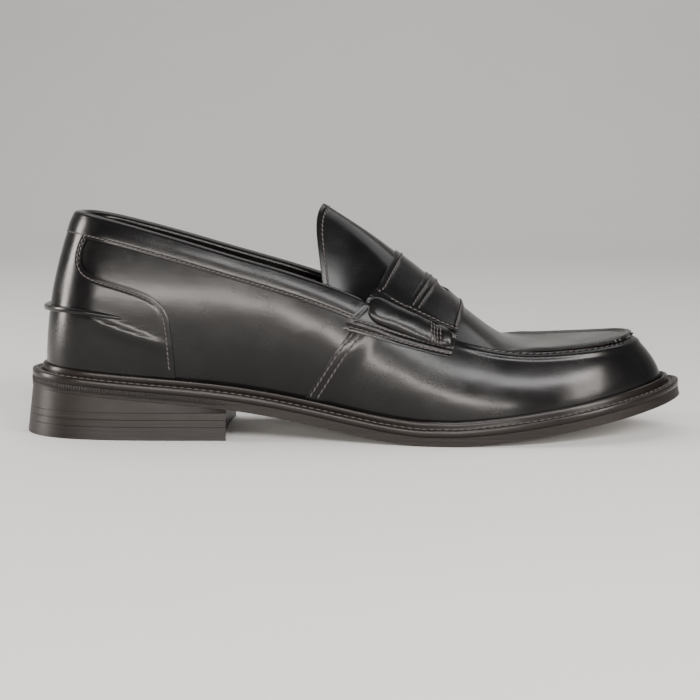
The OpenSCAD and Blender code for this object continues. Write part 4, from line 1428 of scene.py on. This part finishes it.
class LOAFER_OT_stage(Operator):
    """Pale floor, soft studio lights and the camera"""
    bl_idname = "loafer.stage"
    bl_label = "Stage"

    # The floor in metres: half its width, its nearest place, its whole length, where it begins
    # to sweep up, and the radius of the sweep
    FLOOR_HALF = 5
    FLOOR_NEAR = -3.5
    FLOOR_LONG = 9
    FLOOR_FLAT = 1.2
    FLOOR_SWEEP = 1.1
    # What the lights look at, and the camera's place from the last's heel, tilt and lens
    AIM = Vector((0.104, 0, 0.04))
    CAMERA_PLACE = (0.148, -0.85, 0.14)
    CAMERA_TILT = 6.93
    CAMERA_LENS = 93.75

    def execute(self, context):
        bpy.ops.object.select_all(action="DESELECT")
        bpy.ops.mesh.primitive_grid_add(x_subdivisions=2, y_subdivisions=80, size=2)
        floor = named("floor")
        co = vertex_array(floor)
        run = (co[:, 1] + 1) / 2 * self.FLOOR_LONG + self.FLOOR_NEAR
        flat, sweep = self.FLOOR_FLAT, self.FLOOR_SWEEP
        # The floor sweeps up behind in one smooth curve
        bend = np.clip((run - flat) / sweep, 0, math.pi / 2)
        beyond = np.maximum(run - flat - sweep * math.pi / 2, 0)
        y = np.where(run < flat, run, flat + sweep * np.sin(bend))
        move_vertices(floor, xyz(co[:, 0] * self.FLOOR_HALF, y,
                                 sweep * (1 - np.cos(bend)) + beyond))
        bpy.ops.object.shade_smooth()
        r = Recipe("pale_floor")
        speck = r.noise(8, 2)
        floor.data.materials.append(r.surface(
            Base_Color=r.blend(speck, (0.70, 0.69, 0.675, 1), (0.73, 0.72, 0.705, 1)),
            Roughness=0.6 + 0.1 * speck))
        world = bpy.data.worlds.new("studio")
        world.use_nodes = True
        sky = world.node_tree.nodes["Background"].inputs
        sky["Color"].default_value = (0.8, 0.85, 0.95, 1)
        sky["Strength"].default_value = 0.1
        context.scene.world = world
        warm, plain = (1.0, 0.94, 0.88), (1.0, 0.99, 0.98)
        for name, place, size, power, tint in (
                ("overhead", (0.1, 0.7, 1.7), (2.2, 1.4), 24, plain),
                ("front_strip", (-0.15, -1.4, 0.25), (1.8, 0.12), 27, warm),
                ("front_high", (0.55, -1.15, 0.78), (1.5, 0.2), 20, plain),
                ("toe_side", (1.05, -0.75, 0.42), (0.3, 0.6), 12, warm),
                ("heel_side", (-0.95, 0.05, 0.3), (0.25, 0.6), 14, warm)):
            lamp = bpy.data.lights.new(name, "AREA")
            lamp.shape = "RECTANGLE"
            lamp.size, lamp.size_y = size
            lamp.energy = power
            lamp.color = tint
            obj = bpy.data.objects.new(name, lamp)
            obj.location = place
            obj.rotation_euler = (self.AIM - Vector(place)).to_track_quat("-Z", "Y").to_euler()
            context.collection.objects.link(obj)
        cam = bpy.data.cameras.new("camera")
        cam.sensor_width = 36
        cam.lens = self.CAMERA_LENS
        eye = bpy.data.objects.new("camera", cam)
        eye.location = on_last(self.CAMERA_PLACE)
        eye.rotation_euler = (math.radians(90 - self.CAMERA_TILT), 0, 0)
        context.collection.objects.link(eye)
        context.scene.camera = eye
        return {"FINISHED"}


PIECES = (LOAFER_OT_stage, LOAFER_OT_heel, LOAFER_OT_sole, LOAFER_OT_welt, LOAFER_OT_quarters,
          LOAFER_OT_vamp, LOAFER_OT_apron, LOAFER_OT_counter, LOAFER_OT_topline,
          LOAFER_OT_tongue, LOAFER_OT_strap, LOAFER_OT_seams, LOAFER_OT_linings,
          LOAFER_OT_inside)


class LOAFER_PT_panel(Panel):
    """Lists the steps of the loafer in the order they are made"""
    bl_label = "Penny Loafer"
    bl_idname = "LOAFER_PT_panel"
    bl_space_type = "VIEW_3D"
    bl_region_type = "UI"
    bl_category = "Loafer"

    def draw(self, context):
        for group in (context.scene.loafer_sizes, context.scene.loafer_colours):
            for name in group.__annotations__:
                self.layout.prop(group, name)
        for piece in PIECES:
            self.layout.operator(piece.bl_idname)


CLASSES = (LoaferSizes, LoaferColours) + PIECES + (LOAFER_PT_panel,)


def register():
    for cls in CLASSES:
        bpy.utils.register_class(cls)
    bpy.types.Scene.loafer_sizes = PointerProperty(type=LoaferSizes)
    bpy.types.Scene.loafer_colours = PointerProperty(type=LoaferColours)


def unregister():
    del bpy.types.Scene.loafer_colours
    del bpy.types.Scene.loafer_sizes
    for cls in reversed(CLASSES):
        bpy.utils.unregister_class(cls)


def main():
    register()
    for piece in PIECES:
        group, step = piece.bl_idname.split(".")
        getattr(getattr(bpy.ops, group), step)()


if __name__ == "__main__":
    main()
